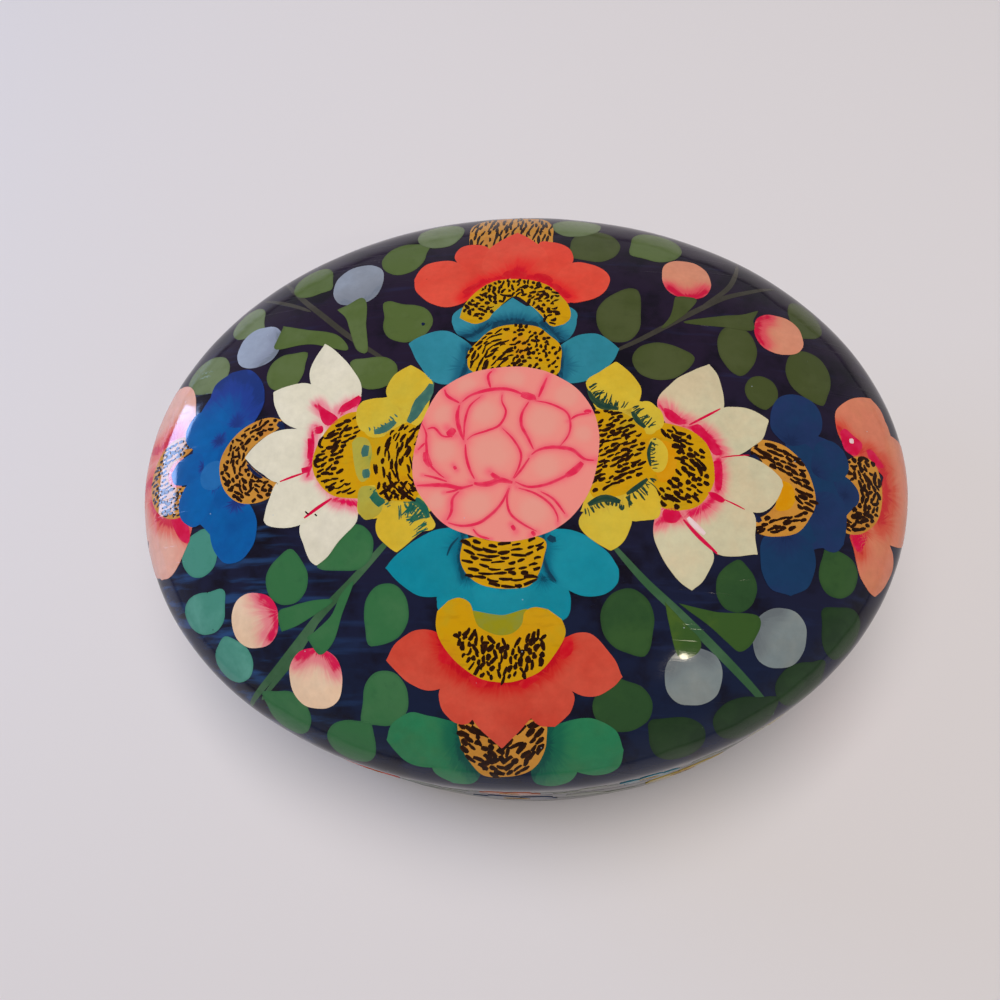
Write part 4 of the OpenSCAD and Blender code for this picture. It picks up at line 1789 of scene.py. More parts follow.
RIGHT_ARM: tuple[Mark, ...] = (
    Bloom(Pigment.SALMON, Layer.FAR_PETAL, (
        Petal(((46.6, 5), (50, 1), (53, 0), (53, -6), (51.5, -9), (47.8, -10.4), (50, -12), (56, -10.8),
               (60.6, -9), (61.4, 0), (60, 4.8), (56.4, 5), (54.6, 8)), (50, -4), (61.4, 0)),
        Petal(((53.5, 2), (55.2, 5.3), (57.6, 5.5), (60.4, 4.8), (61.6, 2.4), (60.4, 0), (57.5, -0.6),
               (54.6, -0.2)), (52.8, 1.2), (61.6, 2.4)),
        Petal(((53.4, -1.4), (57.5, -0.7), (61, -1.6), (62.2, -4.2), (60.6, -6.8), (57.4, -7.4),
               (53.4, -6.2)), (52.6, -4), (62.2, -4.2)),
        Petal(((52.6, -7.4), (56, -6.6), (60, -7.4), (60.6, -9.4), (58.2, -11), (54.4, -11.2),
               (52.2, -9.6)), (52, -8.4), (60.6, -9.4)),
        Petal(((45.9, 6.5), (47, 8.5), (50, 10.5), (53, 11.2), (54.8, 9.5), (55.4, 6.5), (54, 3), (50, 0.5),
               (48, 1), (46.4, 3.3)), (49.4, 1.4), (53, 11.2)),
        Petal(((47.2, -10.5), (47.8, -13), (48.8, -16), (50.5, -18), (52.3, -18.8), (54.5, -17),
               (55.8, -14.5), (55, -12), (52.5, -10), (49.5, -9.5)), (49.4, -9.8), (52.3, -18.8)),
    ), (
        (2.0, ((53, 0.2), (53.6, -4), (52.6, -8))),
        (1.3, ((46.4, 4.8), (48, 3), (49.8, 1.8))),
        (1.3, ((51, 2), (53.2, 0.4))),
        (1.3, ((47.4, -10.6), (48.8, -12.8))),
    )),
    Daub(Pigment.CRIMSON, Layer.FAR_CROWN - 0.4, (
        ((46.4, 4.2), (47.4, 4.9), (48.6, 4), (50, 3), (49.4, 1.6), (48.6, 0.9), (47, 1.6)),
        ((50.6, 2.2), (51.8, 2.2), (52.8, 1), (53.6, 0.1), (52.4, -0.2), (51, 0.7)),
        ((47.2, -10.4), (48.8, -9.9), (50, -10.4), (49.4, -12), (48.6, -13), (47.6, -12)),
    )),
    Daub(Pigment.PALE_LINE, Layer.FAR_CROWN - 0.2, (((47.9, 3.4), (48.5, 3.5), (48.5, 2.8), (47.9, 2.8)),)),
    Daub(Pigment.BLUE, Layer.FAR_CROWN - 0.1, (
        ((45, -1), (47.2, -2), (49, -4.6), (47.6, -8), (46, -9.4), (44, -6)),
    )),
    Crown(
        Layer.FAR_CROWN,
        ((45.6, -2), (47.5, 0.2), (50, 1), (52, 0), (52.8, -3), (52.6, -6), (51.5, -8.5), (49, -10.3),
         (46.5, -10.5), (45, -9.2)),
        ((45.6, -2.2), (46.6, -2.4), (47.6, -3), (48.7, -4.4), (48.6, -6), (47, -7.6), (46, -8.7),
         (45, -9)),
        (Dashes((), -8, (1.25, 0.6), (1.2, 0.78), (47, -4.8), 31, 0.5, 0.2),),
        Pigment.AMBER,
    ),
    Daub(Pigment.BLUE, Layer.OUTER_PETAL - 0.4, (
        ((38, 1.8), (40, 3.6), (43, 3), (46, 1.8), (47.4, -0.6), (45.6, -2.4), (45, -6), (45, -9),
         (46, -12.2), (42, -13), (38, -14)),
    )),
    Bloom(Pigment.BLUE, Layer.OUTER_PETAL, (
        Petal(((45.6, -5.6), (43.8, -1.4), (41, 1.6), (38.6, 1.8), (38.4, -12), (41.2, -12.4), (44, -9.6)),
              (38, -5), (45.6, -5.6)),
        Petal(((41.6, -2), (42.6, 1.8), (44.8, 2.6), (46.8, 1.4), (47.4, -1), (46.2, -3), (43.6, -3.4)),
              (42, -2.4), (46.8, 1.4)),
        Petal(((41.2, -6.2), (43.4, -5), (46, -5.8), (46.6, -8.6), (46, -12), (44.4, -13.4), (42.2, -12.2),
               (41, -9.4)), (41.4, -7), (44.6, -13.4)),
        Petal(((36.2, 3.4), (36.6, 7), (38.6, 9), (41.4, 9), (43.5, 7.2), (43.6, 4.2), (41.8, 2.2),
               (38.6, 1.2)), (38.8, 1.8), (40.6, 9.2)),
        Petal(((34.4, -12), (34, -16), (35.4, -18.8), (38.2, -19.6), (40.8, -18.2), (41.8, -15),
               (40.8, -12), (37.6, -11)), (37.4, -11.4), (38.2, -19.6)),
    )),
    Crown(
        Layer.OUTER_CROWN,
        ((33.2, 1), (34.5, 1.7), (37.5, 1.2), (39.8, -0.5), (41.3, -3), (42, -6.5), (41, -9), (39, -11.2),
         (35.5, -11.9), (33.3, -11.5)),
        ((33, -0.9), (34.6, -1.7), (36, -2.8), (37.5, -4.7), (36.5, -7), (35, -8.8), (33.2, -9.8)),
        (Dashes(((33.2, 1), (34.5, 1.7), (37.5, 1.2), (39.8, -0.5), (41.3, -3), (42, -6.5), (41.4, -8.4),
                 (39.2, -7.6), (39.2, -5), (38, -4), (36, -2.6), (33, -0.9)),
                -22, (1.45, 0.58), (1.4, 0.8), None, 32, 0.2),
         Dashes(((41.4, -8.4), (39, -11.2), (35.5, -11.9), (33.3, -11.5), (33.2, -9.8), (35, -9),
                 (37.4, -8.8), (39.2, -7.6)), 20, (1.4, 0.55), (1.4, 0.8), None, 35, 0.2)),
        Pigment.AMBER,
    ),
    Daub(Pigment.BRIGHT_AMBER, Layer.OUTER_CROWN + 0.3, (
        ((37.2, -4), (38.6, -4.6), (39, -6.6), (38, -8), (36.2, -8.2), (36.6, -6)),
    )),
    Stroke(Pigment.NAVY, Layer.OUTER_CROWN + 0.7, 0.9, ((33, -0.4), (33.6, -1.2), (34.4, -1.6))),
    Stroke(Pigment.NAVY, Layer.OUTER_CROWN + 0.7, 0.9, ((33, -9), (33.6, -9.7), (34.4, -9.4))),
    Bloom(Pigment.WARM_CREAM, Layer.MIDDLE_PETAL, (
        Petal(((22, 2.6), (20.4, 6.4), (22.6, 9.6), (25.4, 11.6), (27.9, 12.9), (29.2, 10.6), (29.7, 7),
               (29, 5.4), (25, 2)), (22.4, 3), (27.9, 12.9)),
        Petal(((21, -8), (19.6, -11.4), (20.4, -14.6), (22.4, -17.8), (24.7, -19.6), (26.4, -18),
               (27.6, -15), (26.4, -13), (24.6, -11), (23.6, -8)), (21.8, -8.4), (24.7, -19.6)),
        Petal(((25, 1.6), (28.8, 5.6), (31.4, 6.4), (33.8, 6), (35.9, 4.7), (34.9, 2), (33.4, 0.6),
               (31, -1), (28, -1.4), (26, 0)), (26.2, 1), (35.9, 4.7)),
        Petal(((26, -6), (30.4, -7.2), (33.2, -9), (33.2, -12), (33.5, -14.4), (30.6, -14.8), (28, -14.6),
               (25.4, -12), (23.4, -9)), (26, -7.6), (33.5, -14.4)),
        Petal(((27, -1.2), (31, -0.7), (34.4, -1.6), (37, -3.6), (37.3, -4.8), (36, -7.4), (33.8, -8.8),
               (30.4, -8), (27, -6.8), (27, -4)), (27.4, -4), (37.3, -4.8)),
    ), (
        (1.15, ((20.8, 5.8), (22.2, 4.6), (24, 3.4))),
        (1.1, ((25, 3), (27.2, 1.8), (28.7, -0.6))),
        (0.95, ((28.4, -1.6), (28.6, -4), (28.2, -6))),
        (1.2, ((27.8, -7), (26.2, -8.6), (24.6, -9.4))),
        (1.1, ((23, -9.8), (21.6, -10), (20, -10.8))),
    )),
    Daub(Pigment.CRIMSON, Layer.MIDDLE_PETAL + 1.0, (
        ((21.3, 5.6), (22.4, 5.2), (23.8, 3.9), (23.6, 3.1), (22.2, 3.5), (21.4, 4.4)),
        ((24.8, 2.9), (26, 3.4), (26.8, 2.6), (28.5, 0.4), (29, -0.9), (27.8, -0.9), (26.8, 0.8),
         (25.4, 2)),
        ((27.8, -1.9), (28.9, -2), (29, -4), (28.7, -6), (28, -5.6), (27.9, -3.8)),
        ((26.9, -6.3), (28, -6.4), (29.2, -7.2), (28.8, -7.7), (27.6, -7.2)),
        ((21.1, -8.9), (22.7, -8.8), (23.3, -9.8), (22.6, -10.7), (21.4, -10.7), (20.8, -9.8)),
    )),
    Stroke(Pigment.PALE_LINE, Layer.MIDDLE_PETAL + 1.1, 0.8, ((23.9, -9.6), (25.2, -11), (26.8, -12.4))),
    Stroke(Pigment.CRIMSON, Layer.MIDDLE_PETAL + 1.1, 0.55, ((23.4, -10), (25.6, -12.4), (28.3, -14.8))),
    Stroke(Pigment.CRIMSON, Layer.MIDDLE_PETAL + 1.0, 0.36, ((24.4, 3), (27, 4.6), (29.4, 6.1))),
    Stroke(Pigment.CRIMSON, Layer.MIDDLE_PETAL + 1.0, 0.2, ((28.6, -1.4), (30.6, -1), (33, -0.7))),
    Stroke(Pigment.CRIMSON, Layer.MIDDLE_PETAL + 1.0, 0.22, ((28.8, -7.1), (30.5, -7.8), (32.2, -8.6))),
    Crown(
        Layer.MIDDLE_CROWN,
        ((17, 4), (23, 3), (25.5, 2), (27, 0.5), (27.8, -2), (27.8, -5), (26, -8), (23.5, -9), (21, -8.8),
         (18, -7)),
        ((17, 2.2), (17.5, 1.5), (18, 0.2), (18, -1), (18, -4), (18, -5.4), (18, -6)),
        (Dashes(((20.6, 2.4), (23, 2.7), (25.5, 1.8), (27, 0.3), (27.6, -2), (27.5, -5), (26, -7.6),
                 (23.5, -8.8), (21, -8.6), (19.8, -6), (21.6, -5), (22.8, -3), (22.6, -0.8)),
                -32, (1.2, 0.58), (1.2, 0.8), None, 33, 0.35),),
    ),
    Daub(Pigment.BRIGHT_AMBER, Layer.MIDDLE_CROWN + 0.3, (
        ((20.4, 0.6), (22, 0.4), (22.9, -1.6), (22.4, -4.2), (20.6, -5.2), (19.6, -2)),
    )),
    Daub(Pigment.YELLOW, Layer.INNER_PETAL - 0.6, (
        ((11, 7.5), (12.5, 4.6), (15.5, 4), (18, 2.4), (20, 2), (21.2, 3), (20.8, 5.2), (18.6, 6.3),
         (17, 6.6), (13, 8)),
        ((10, -9.6), (11.4, -6.6), (16, -5.6), (18.6, -4.2), (20.4, -7.2), (20.4, -10), (18, -10.6),
         (16.6, -10.6), (13, -9.6)),
    )),
    Bloom(Pigment.YELLOW, Layer.INNER_PETAL, (
        Petal(((19.4, 0.8), (20.6, 0.8), (21.6, -0.6), (21.6, -2.4), (20.8, -3.8), (19.6, -3.6),
               (18.8, -1.6)), (18.6, -1.5), (21.8, -1.4)),
        Petal(((18, 6.2), (19.4, 6.4), (20.6, 5.2), (21, 3.4), (19.5, 1.5), (17.5, 2.5), (16.8, 4.8)),
              (17.6, 2.8), (20.6, 5.2)),
        Petal(((16, -7), (18.6, -4.8), (20.4, -7.2), (20.2, -9.8), (18.6, -10.6), (17, -10.4),
               (15.8, -8.8)), (17.6, -5.2), (18.6, -10.6)),
        Petal(((10.6, 9), (12.8, 11), (14.8, 12.6), (16.8, 10.8), (18.2, 8.4), (17.6, 5.8), (15, 5),
               (12.6, 6.2)), (13.3, 5.4), (14.8, 12.6)),
        Petal(((10, -10.4), (10, -11.8), (11.4, -13.2), (14, -14.8), (15.8, -13.4), (16.8, -10.6),
               (15.6, -8.8), (13.4, -8.4), (11.2, -9)), (13.2, -8), (14, -14.8)),
    )),
    Crown(
        Layer.INNER_CROWN - 0.6,
        ((12, 5), (15.5, 4.6), (18, 3), (19.2, 0), (19.4, -4), (18, -6), (14.5, -7.5), (11.5, -7.2),
         (10.8, -1)),
        (),
        (Dashes(((12, 5), (15.2, 4.8), (17.6, 3.4), (18.4, 1), (18.2, -4), (16, -5.6), (13.4, -7.2),
                 (11.6, -6.8), (11.6, -1)), 25, (1.25, 0.46), (1.35, 0.72), None, 34, 0.15, 0.1),),
    ),
    Shading(Pigment.DARK_HATCH, Layer.INNER_CROWN + 0.2, (
        Fringe(((10.8, 8.2), (12.2, 6), (15.6, 5)), 0.9, 1.7, 0.3, 11),
        Fringe(((11.4, 7), (12.6, 5.6), (14.6, 5.1)), 0.9, 0.9, 0.4, 21),
        Fringe(((16.8, 5.2), (17.6, 3.6), (19, 2.2)), 0.8, 1.4, 0.3, 12),
        Fringe(((19.6, 0.8), (19.1, -1.2), (19.4, -3.4)), 0.5, 0.9, 0.4, 13),
        Fringe(((15.8, -7.3), (17.6, -6), (19.2, -4.6)), 0.7, -1.7, 0.3, 14),
        Fringe(((10.6, -8.9), (13.2, -7.7), (15.8, -8.3)), 1, -1.1, 0.3, 15),
    )),
)

TOP_ARM: tuple[Mark, ...] = (
    Bloom(Pigment.PALE_LEAF, Layer.FAR_PETAL - 0.5, (
        Petal(((-9, 38), (-10.6, 35.8), (-13.6, 35.6), (-16, 37.8), (-16.2, 41), (-13.8, 43.4),
               (-10.4, 42.8), (-8.8, 40.6)), (-8.6, 38.4), (-16.2, 41)),
        Petal(((5.8, 39.4), (7.6, 37.8), (10.6, 38), (13, 40), (13, 42.6), (10.4, 44), (7.4, 43.6),
               (5.6, 41.8)), (5.4, 40), (13, 42)),
    )),
    Crown(
        Layer.FAR_CROWN - 1.2,
        ((-7, 34), (-7.6, 38), (-7.4, 42), (-4.6, 44.4), (0, 45), (3.6, 44.2), (5.4, 41.4), (5.6, 37.6),
         (4.8, 34), (-1, 33)),
        (),
        (Dashes((), 88, (2.1, 0.43), (2.2, 0.88), None, 41, 0.12),),
        Pigment.AMBER,
    ),
    Bloom(Pigment.ORANGE, Layer.OUTER_PETAL, (
        Petal(((-7, 23.4), (-8, 28), (-5, 32), (0, 34), (5, 32), (8.6, 28), (8.4, 22.8), (5, 24),
               (0, 25.6), (-5, 24)), (0, 24), (0, 34)),
        Petal(((-8, 30), (-9.4, 32.6), (-8.6, 35), (-6.4, 35.6), (-4, 34), (-3.2, 28), (-6, 26.6)),
              (-3.6, 26.4), (-8.2, 35.4)),
        Petal(((7.6, 29), (8.8, 31.8), (7.8, 34.8), (5.4, 35.9), (3.4, 35.4), (2.6, 28.6), (5.2, 26.6)),
              (3.2, 26.4), (7.6, 35.4)),
        Petal(((-4.6, 29), (-4.8, 32.6), (-3.2, 35.6), (0, 38.7), (3, 35.7), (4.8, 33), (4.6, 29),
               (2, 26.4), (-2, 26.4)), (0, 26), (0, 38.7)),
        Petal(((-15.2, 28), (-14, 31), (-11.5, 31.9), (-9, 31.4), (-7, 29.4), (-6, 25.6), (-6.8, 23.2),
               (-9.5, 22.2), (-12, 23), (-14.5, 25.5)), (-6.4, 24.2), (-15.2, 28)),
        Petal(((8.5, 30.8), (11, 30.8), (13.5, 29.2), (14.2, 27), (13, 24.5), (11, 23.2), (8.4, 22.8),
               (6.4, 24.6), (6.6, 28.6)), (6.6, 24.6), (13.8, 28.4)),
    ), (
        (1.2, ((-7, 24), (-5, 26.6), (-1.6, 27.8), (2, 27.8), (5, 26.6), (8, 24))),
        (1.9, ((-0.6, 28), (0.8, 29.4), (1, 27.6))),
    )),
    Daub(Pigment.SCARLET, Layer.OUTER_PETAL + 0.8, (
        ((-1.9, 27.8), (-1.4, 28.9), (0, 29.4), (1.7, 28.7), (1.7, 27.6), (0, 27.7)),
        ((2.8, 27.5), (3.2, 28.5), (4.8, 28.3), (5.8, 27.2), (5.2, 26.5)),
        ((5.6, 26.4), (6.6, 26.2), (7.6, 24.8), (8.6, 23.8), (7.6, 23.6), (6.2, 25.2)),
        ((-7.6, 25), (-6.4, 26.2), (-5, 26.8), (-6, 25.4), (-6.8, 24.4)),
    )),
    Bloom(Pigment.TEAL, Layer.OUTER_CROWN, (
        Petal(((-8.2, 18.4), (-6, 16), (-4, 16), (0.4, 16.4), (5, 16), (7.4, 15.6), (9, 17.6), (9.3, 20),
               (7, 22), (-6, 22), (-8.4, 20.6)), (0.4, 16.4), (7, 22)),
        Petal(((-8.5, 19), (-8.6, 20.6), (-7.5, 21.8), (-5.5, 22.5), (-3.6, 20.6), (-3, 18), (-5, 16.5),
               (-7.5, 17)), (-4.6, 17), (-7.6, 21.8)),
        Petal(((9.2, 19), (9.4, 20.6), (8.5, 21.8), (7, 22), (5.4, 20.4), (5, 18), (7, 15.5), (8.7, 17)),
              (6, 17), (8.8, 21.6)),
    ), (
        (1.0, ((-3.2, 18.8), (-5.2, 17.2), (-7.4, 16.4))),
        (1.2, ((4.4, 19), (6, 17.4), (7.4, 15.6))),
    )),
    Crown(
        Layer.MIDDLE_PETAL,
        ((-7.6, 19.6), (-7.2, 22), (-6, 24.2), (-4, 26.3), (-1.6, 27.3), (2, 27.2), (4.8, 26.2),
         (6.8, 24.2), (8.2, 22), (8.4, 19.8), (7.2, 18.4)),
        ((-6.6, 19.4), (-5, 18.9), (-3, 20), (-1.5, 22.4), (0.4, 24), (2.6, 22.2), (4.2, 20.4), (5.4, 18.6),
         (6.4, 18.2)),
        (Dashes(((-6.9, 20.6), (-7, 22.4), (-5.8, 24.4), (-4, 26.3), (-1.6, 27.3), (2, 27.2), (4.8, 26.2),
                 (6.6, 24.2), (6.6, 19), (5, 18.8), (2.6, 22.2), (0.4, 24), (-1.5, 22.4), (-3.4, 20.2),
                 (-5.6, 19.4)),
                88, (0.95, 0.5), (0.82, 1.0), (0.2, 18.6), 42, 0.6, 0.15),),
    ),
    Bloom(Pigment.TEAL, Layer.INNER_PETAL, (
        Petal(((-3, 19), (-2.8, 20.6), (-1.5, 22.2), (0, 23.6), (2, 22), (3.8, 20.4), (4, 19), (0.5, 18)),
              (0.5, 17), (0, 23.6)),
        Petal(((-14.7, 15.8), (-13, 17), (-10, 17.9), (-7.5, 16.8), (-5.2, 14.6), (-4.6, 11.5), (-7, 9.2),
               (-10.5, 9.3), (-13, 12.5)), (-6, 11.6), (-14.7, 15.8)),
        Petal(((6.6, 11), (6.8, 14.5), (9, 16.5), (11, 17.1), (13, 16.8), (15.3, 14.7), (14, 12), (11, 9.5),
               (8, 9)), (7.4, 11.6), (15.3, 14.7)),
    ), (
        (1.1, ((-2.8, 18.6), (0.5, 19.4), (3.8, 18.4))),
        (0.9, ((-7, 9.2), (-6, 12), (-6, 14.6))),
        (0.8, ((7.2, 14), (7.2, 10))),
    )),
    Daub(Pigment.DEEP_TEAL, Layer.INNER_PETAL + 0.7, (
        ((-2.9, 18), (-2.4, 19.1), (-0.8, 19.2), (0.6, 19.5), (2, 19.2), (3.4, 19.1), (3.8, 18.2),
         (0.5, 17.8)),
    )),
    Stroke(Pigment.NAVY, Layer.INNER_PETAL + 0.7, 0.5, ((-13, 19), (-12.7, 19.5))),
    Crown(
        Layer.INNER_CROWN,
        ((-6, 14), (-4.5, 16), (-2.5, 18), (0, 18.6), (3.5, 18.3), (5.5, 16.8), (7, 15), (7.2, 12.5),
         (6.2, 10), (0, 9.6), (-5.4, 11)),
        (),
        (Dashes(((-6, 14), (-4.4, 16), (-2.4, 17.8), (0, 18.4), (0.6, 14), (0.4, 10), (-5, 10.6)),
                0, (1.3, 0.42), (1.4, 0.75), (0.6, 11), 43, 0.15, 0.1),
         Dashes(((0.4, 18.4), (3.5, 18.1), (5.4, 16.6), (6.8, 15), (7, 12.5), (6, 10), (0.6, 10)),
                50, (0.8, 0.48), (0.95, 0.85), None, 44, 0.5, 0.1)),
    ),
)

BOTTOM_ARM: tuple[Mark, ...] = (
    Bloom(Pigment.EMERALD, Layer.FAR_PETAL, (
        Petal(((-9.4, -42.6), (-9.8, -45.4), (-7.4, -47.6), (-4.6, -47.4), (-3.2, -45), (-4.6, -41)),
              (-4.8, -41), (-7.4, -47.6)),
        Petal(((4, -44), (4.6, -46.8), (7.2, -47.6), (9.8, -46), (10, -43), (6, -40.4)), (5.4, -41),
              (8, -47.6)),
        Petal(((-16.2, -40.5), (-15, -38), (-12.5, -36.4), (-10, -36.8), (-5.6, -38), (-4.8, -42),
               (-8, -44), (-11.5, -44.6), (-14, -43.5)), (-5.6, -39.6), (-16.2, -40.5)),
        Petal(((5.2, -38.6), (9, -37), (12, -36.6), (15, -38), (16.5, -41), (16, -44), (13, -45.3),
               (9, -44), (5, -42)), (5.8, -40.2), (16.5, -41)),
    ), (
        (1.8, ((-5.6, -37.4), (-5.6, -42), (-3.4, -45.4))),
        (2.0, ((6, -37), (5.8, -42), (4, -45.4))),
    )),
    Crown(
        Layer.FAR_CROWN,
        ((-6, -37.3), (-5.7, -40), (-5, -42.4), (-3, -45.3), (0, -45.7), (3.5, -44.7), (5.5, -42),
         (6, -39.5), (5.4, -36), (0, -35.4)),
        (),
        (Dashes(((-6, -37), (-5.7, -40), (-5, -42.4), (-3, -45), (-0.2, -45.4), (-0.2, -37)),
                -35, (1.4, 0.75), (1.4, 1.0), None, 51, 0.5, 0.15),
         Dashes(((0.2, -45.4), (3.5, -44.5), (5.4, -42), (5.8, -39.5), (5.3, -36), (0.2, -38)),
                42, (1.6, 0.72), (1.6, 1.0), None, 54, 0.25, 0.15)),
        Pigment.AMBER,
    ),
    Bloom(Pigment.RED_ORANGE, Layer.OUTER_PETAL, (
        Petal(((-7, -26), (-9.6, -30), (-7.4, -34), (-3, -35), (3, -35), (7.4, -34), (9.6, -30),
               (7.4, -25.6), (5, -28), (0, -28.6), (-5, -28)), (0, -27), (3, -35)),
        Petal(((-8, -32.6), (-8.2, -35.4), (-6.5, -37.5), (-4.2, -37.4), (-2.6, -33.6), (-4.4, -30)),
              (-3.8, -30), (-6.6, -37.6)),
        Petal(((9.2, -33), (9.2, -35.6), (7, -37.9), (4.6, -37.4), (2.4, -34), (4.6, -30)),
              (3.6, -30), (7, -37.9)),
        Petal(((-4.4, -32), (-4.6, -35.6), (-3, -38.3), (0, -41), (3, -37.8), (4.8, -35), (4.4, -31),
               (0, -30)), (0, -30), (0, -41)),
        Petal(((-15.6, -29.5), (-14, -27), (-11.5, -25.5), (-8.8, -25.7), (-6, -27.6), (-5.6, -31),
               (-8, -33), (-10.5, -33.3), (-13, -32)), (-6.2, -27.8), (-15.6, -29.5)),
        Petal(((8, -26.2), (10, -25.5), (12, -25.8), (14.5, -28.5), (15.8, -31), (14.5, -32.5), (12, -33.7),
               (9.6, -33.2), (6, -30.6), (6, -27.4)), (6.4, -28.2), (15.8, -31)),
    ), (
        (1.25, ((-8.4, -26), (-7, -29.4), (-3.4, -31.8), (0, -32.2), (5, -30.8), (8.2, -27))),
    )),
    Daub(Pigment.SCARLET, Layer.OUTER_PETAL + 0.8, (
        ((-4.4, -31.4), (-3.8, -32.6), (-2.6, -32.8), (-1.8, -32), (-3, -31.4)),
        ((2.2, -32.2), (3, -32.9), (4, -32.2), (5, -31.4), (4, -31)),
        ((-8.3, -28), (-8.4, -29.4), (-7, -29.9), (-6.4, -29), (-7.4, -27.8)),
        ((8.2, -26.4), (9.2, -26.4), (9.2, -28), (7.9, -29), (7.6, -28)),
    )),
    Daub(Pigment.LAKE_TEAL, Layer.OUTER_CROWN - 0.3, (
        ((-8.4, -20.4), (-8.4, -23), (-5, -23.4), (0, -24), (5, -23.6), (8.4, -23.6), (8.6, -20), (6, -15),
         (-5, -15)),
    )),
    Bloom(Pigment.LAKE_TEAL, Layer.OUTER_CROWN, (
        Petal(((-8.7, -21), (-7.6, -23.2), (-5.4, -23.6), (-3.4, -22), (-3, -19.2), (-6, -18.4)),
              (-4.6, -18.6), (-7.6, -23.4)),
        Petal(((4, -18.5), (7, -17.7), (8.8, -20.5), (8.6, -23.3), (7, -24), (4.2, -22)), (5.2, -18.6),
              (8, -24)),
        Petal(((-3.5, -19.5), (-3.2, -22.2), (0, -23.6), (2.6, -22.4), (3.2, -19.6)), (0, -19.2),
              (0, -23.6)),
    )),
    Daub(Pigment.OLIVE_GOLD, Layer.MIDDLE_PETAL - 0.4, (
        ((-4.4, -22.8), (0, -23.4), (3.4, -22.6), (3.4, -25), (1.5, -26.4), (-0.5, -26.8), (-3.6, -25.6)),
    )),
    Crown(
        Layer.MIDDLE_PETAL,
        ((-8.6, -22.6), (-8.8, -25), (-8, -27.2), (-6, -29.6), (-3, -31.6), (0, -32.1), (2.2, -31.8),
         (5, -30.6), (7, -28.2), (8.3, -25.6), (7.6, -23.4)),
        ((-7.4, -21.7), (-5.8, -21.2), (-4.3, -21.9), (-3.7, -23.7), (-3, -25), (-0.6, -26), (1.4, -25.7),
         (2.6, -24.5), (2.9, -23), (4.2, -22.3), (6.2, -22.6)),
        (Dashes(((-5.8, -24.8), (-6.4, -26.6), (-5.8, -29), (-3, -31.6), (0, -32), (2.2, -31.7), (5, -30),
                 (6, -27.4), (5.6, -25.2), (4, -25), (1.6, -26.2), (-0.6, -26.4), (-3.4, -25.4)),
                80, (1.15, 0.58), (1.2, 0.82), None, 52, 0.45, 0.2),),
    ),
    Bloom(Pigment.LAKE_TEAL, Layer.INNER_PETAL, (
        Petal(((-15.8, -17.3), (-14, -15.2), (-10.5, -12.8), (-8, -12), (-5.3, -12.2), (-4, -16),
               (-5.2, -19.2), (-7.5, -20.8), (-10.5, -21.1), (-13, -20)), (-5, -14.6), (-15.8, -17.3)),
        Petal(((5.2, -12.4), (8, -12), (10.5, -12.7), (13.5, -14.8), (15.1, -17), (15, -19), (13.5, -20.3),
               (11, -20.8), (8.5, -20), (5, -17.8), (4, -15)), (4.8, -14.6), (15.1, -17)),
    ), (
        (0.7, ((-5.4, -12.6), (-5.8, -16), (-5.2, -18.6))),
        (0.6, ((5.2, -13), (5.5, -16.4), (6.4, -19))),
    )),
    Stroke(Pigment.DEEP_TEAL, Layer.INNER_PETAL + 0.7, 0.9, ((5.6, -12.8), (6.4, -13.4), (7.2, -13.3))),
    Stroke(Pigment.DEEP_TEAL, Layer.INNER_PETAL + 0.7, 0.4, ((5.2, -15.8), (5.9, -17.6), (7.2, -19.2))),
    Stroke(Pigment.DEEP_TEAL, Layer.INNER_PETAL + 0.7, 0.3, ((-5.8, -13), (-7, -14.4), (-7.6, -16))),
    Crown(
        Layer.INNER_CROWN,
        ((-5.3, -13.5), (-5.7, -16), (-4.8, -18.2), (-2.5, -19.6), (0.5, -20), (3, -19.7), (4.4, -18.5),
         (5.3, -16), (5.2, -13.4), (0, -12.4)),
        (),
        (Dashes((), 0, (1.6, 0.46), (1.9, 0.88), (0, -3), 53, 0.12, 0.1),),
    ),
)


STEMS: tuple[Stroke, ...] = (
    Stroke(Pigment.SHADED_STEM, Layer.STEM, 0.9,
           ((-17, 12.6), (-24, 18), (-30, 23.5), (-33.5, 27), (-39, 33.4)), 0.3),
    Stroke(Pigment.SHADED_STEM, Layer.STEM, 0.7, ((-31, 23.6), (-34.5, 25.6), (-41.5, 29.2)), 0.3),
    Stroke(Pigment.SHADED_STEM, Layer.STEM, 0.9,
           ((14, 14), (18, 16.3), (22, 19), (27, 22.5), (31, 25.3), (35.5, 27.6), (40.5, 30.2)), 0.3),
    Stroke(Pigment.SHADED_STEM, Layer.STEM, 0.8, ((27, 22.5), (31.5, 27), (33.5, 30.5), (35, 34.8)), 0.3),
    Stroke(Pigment.STEM, Layer.STEM, 1.2,
           ((-14, -11.8), (-20, -18.5), (-24.5, -23), (-29, -28), (-33, -32), (-39.5, -37.5)), 0.3),
    Stroke(Pigment.STEM, Layer.STEM + 0.3, 0.8, ((-25, -24), (-29.5, -29.8), (-35.6, -35.6)), 0.3),
    Stroke(Pigment.STEM, Layer.STEM, 1.2,
           ((14, -13.6), (18.5, -18.5), (23, -22.5), (28, -27), (33, -31.5), (38.5, -36.5)), 0.3),
)

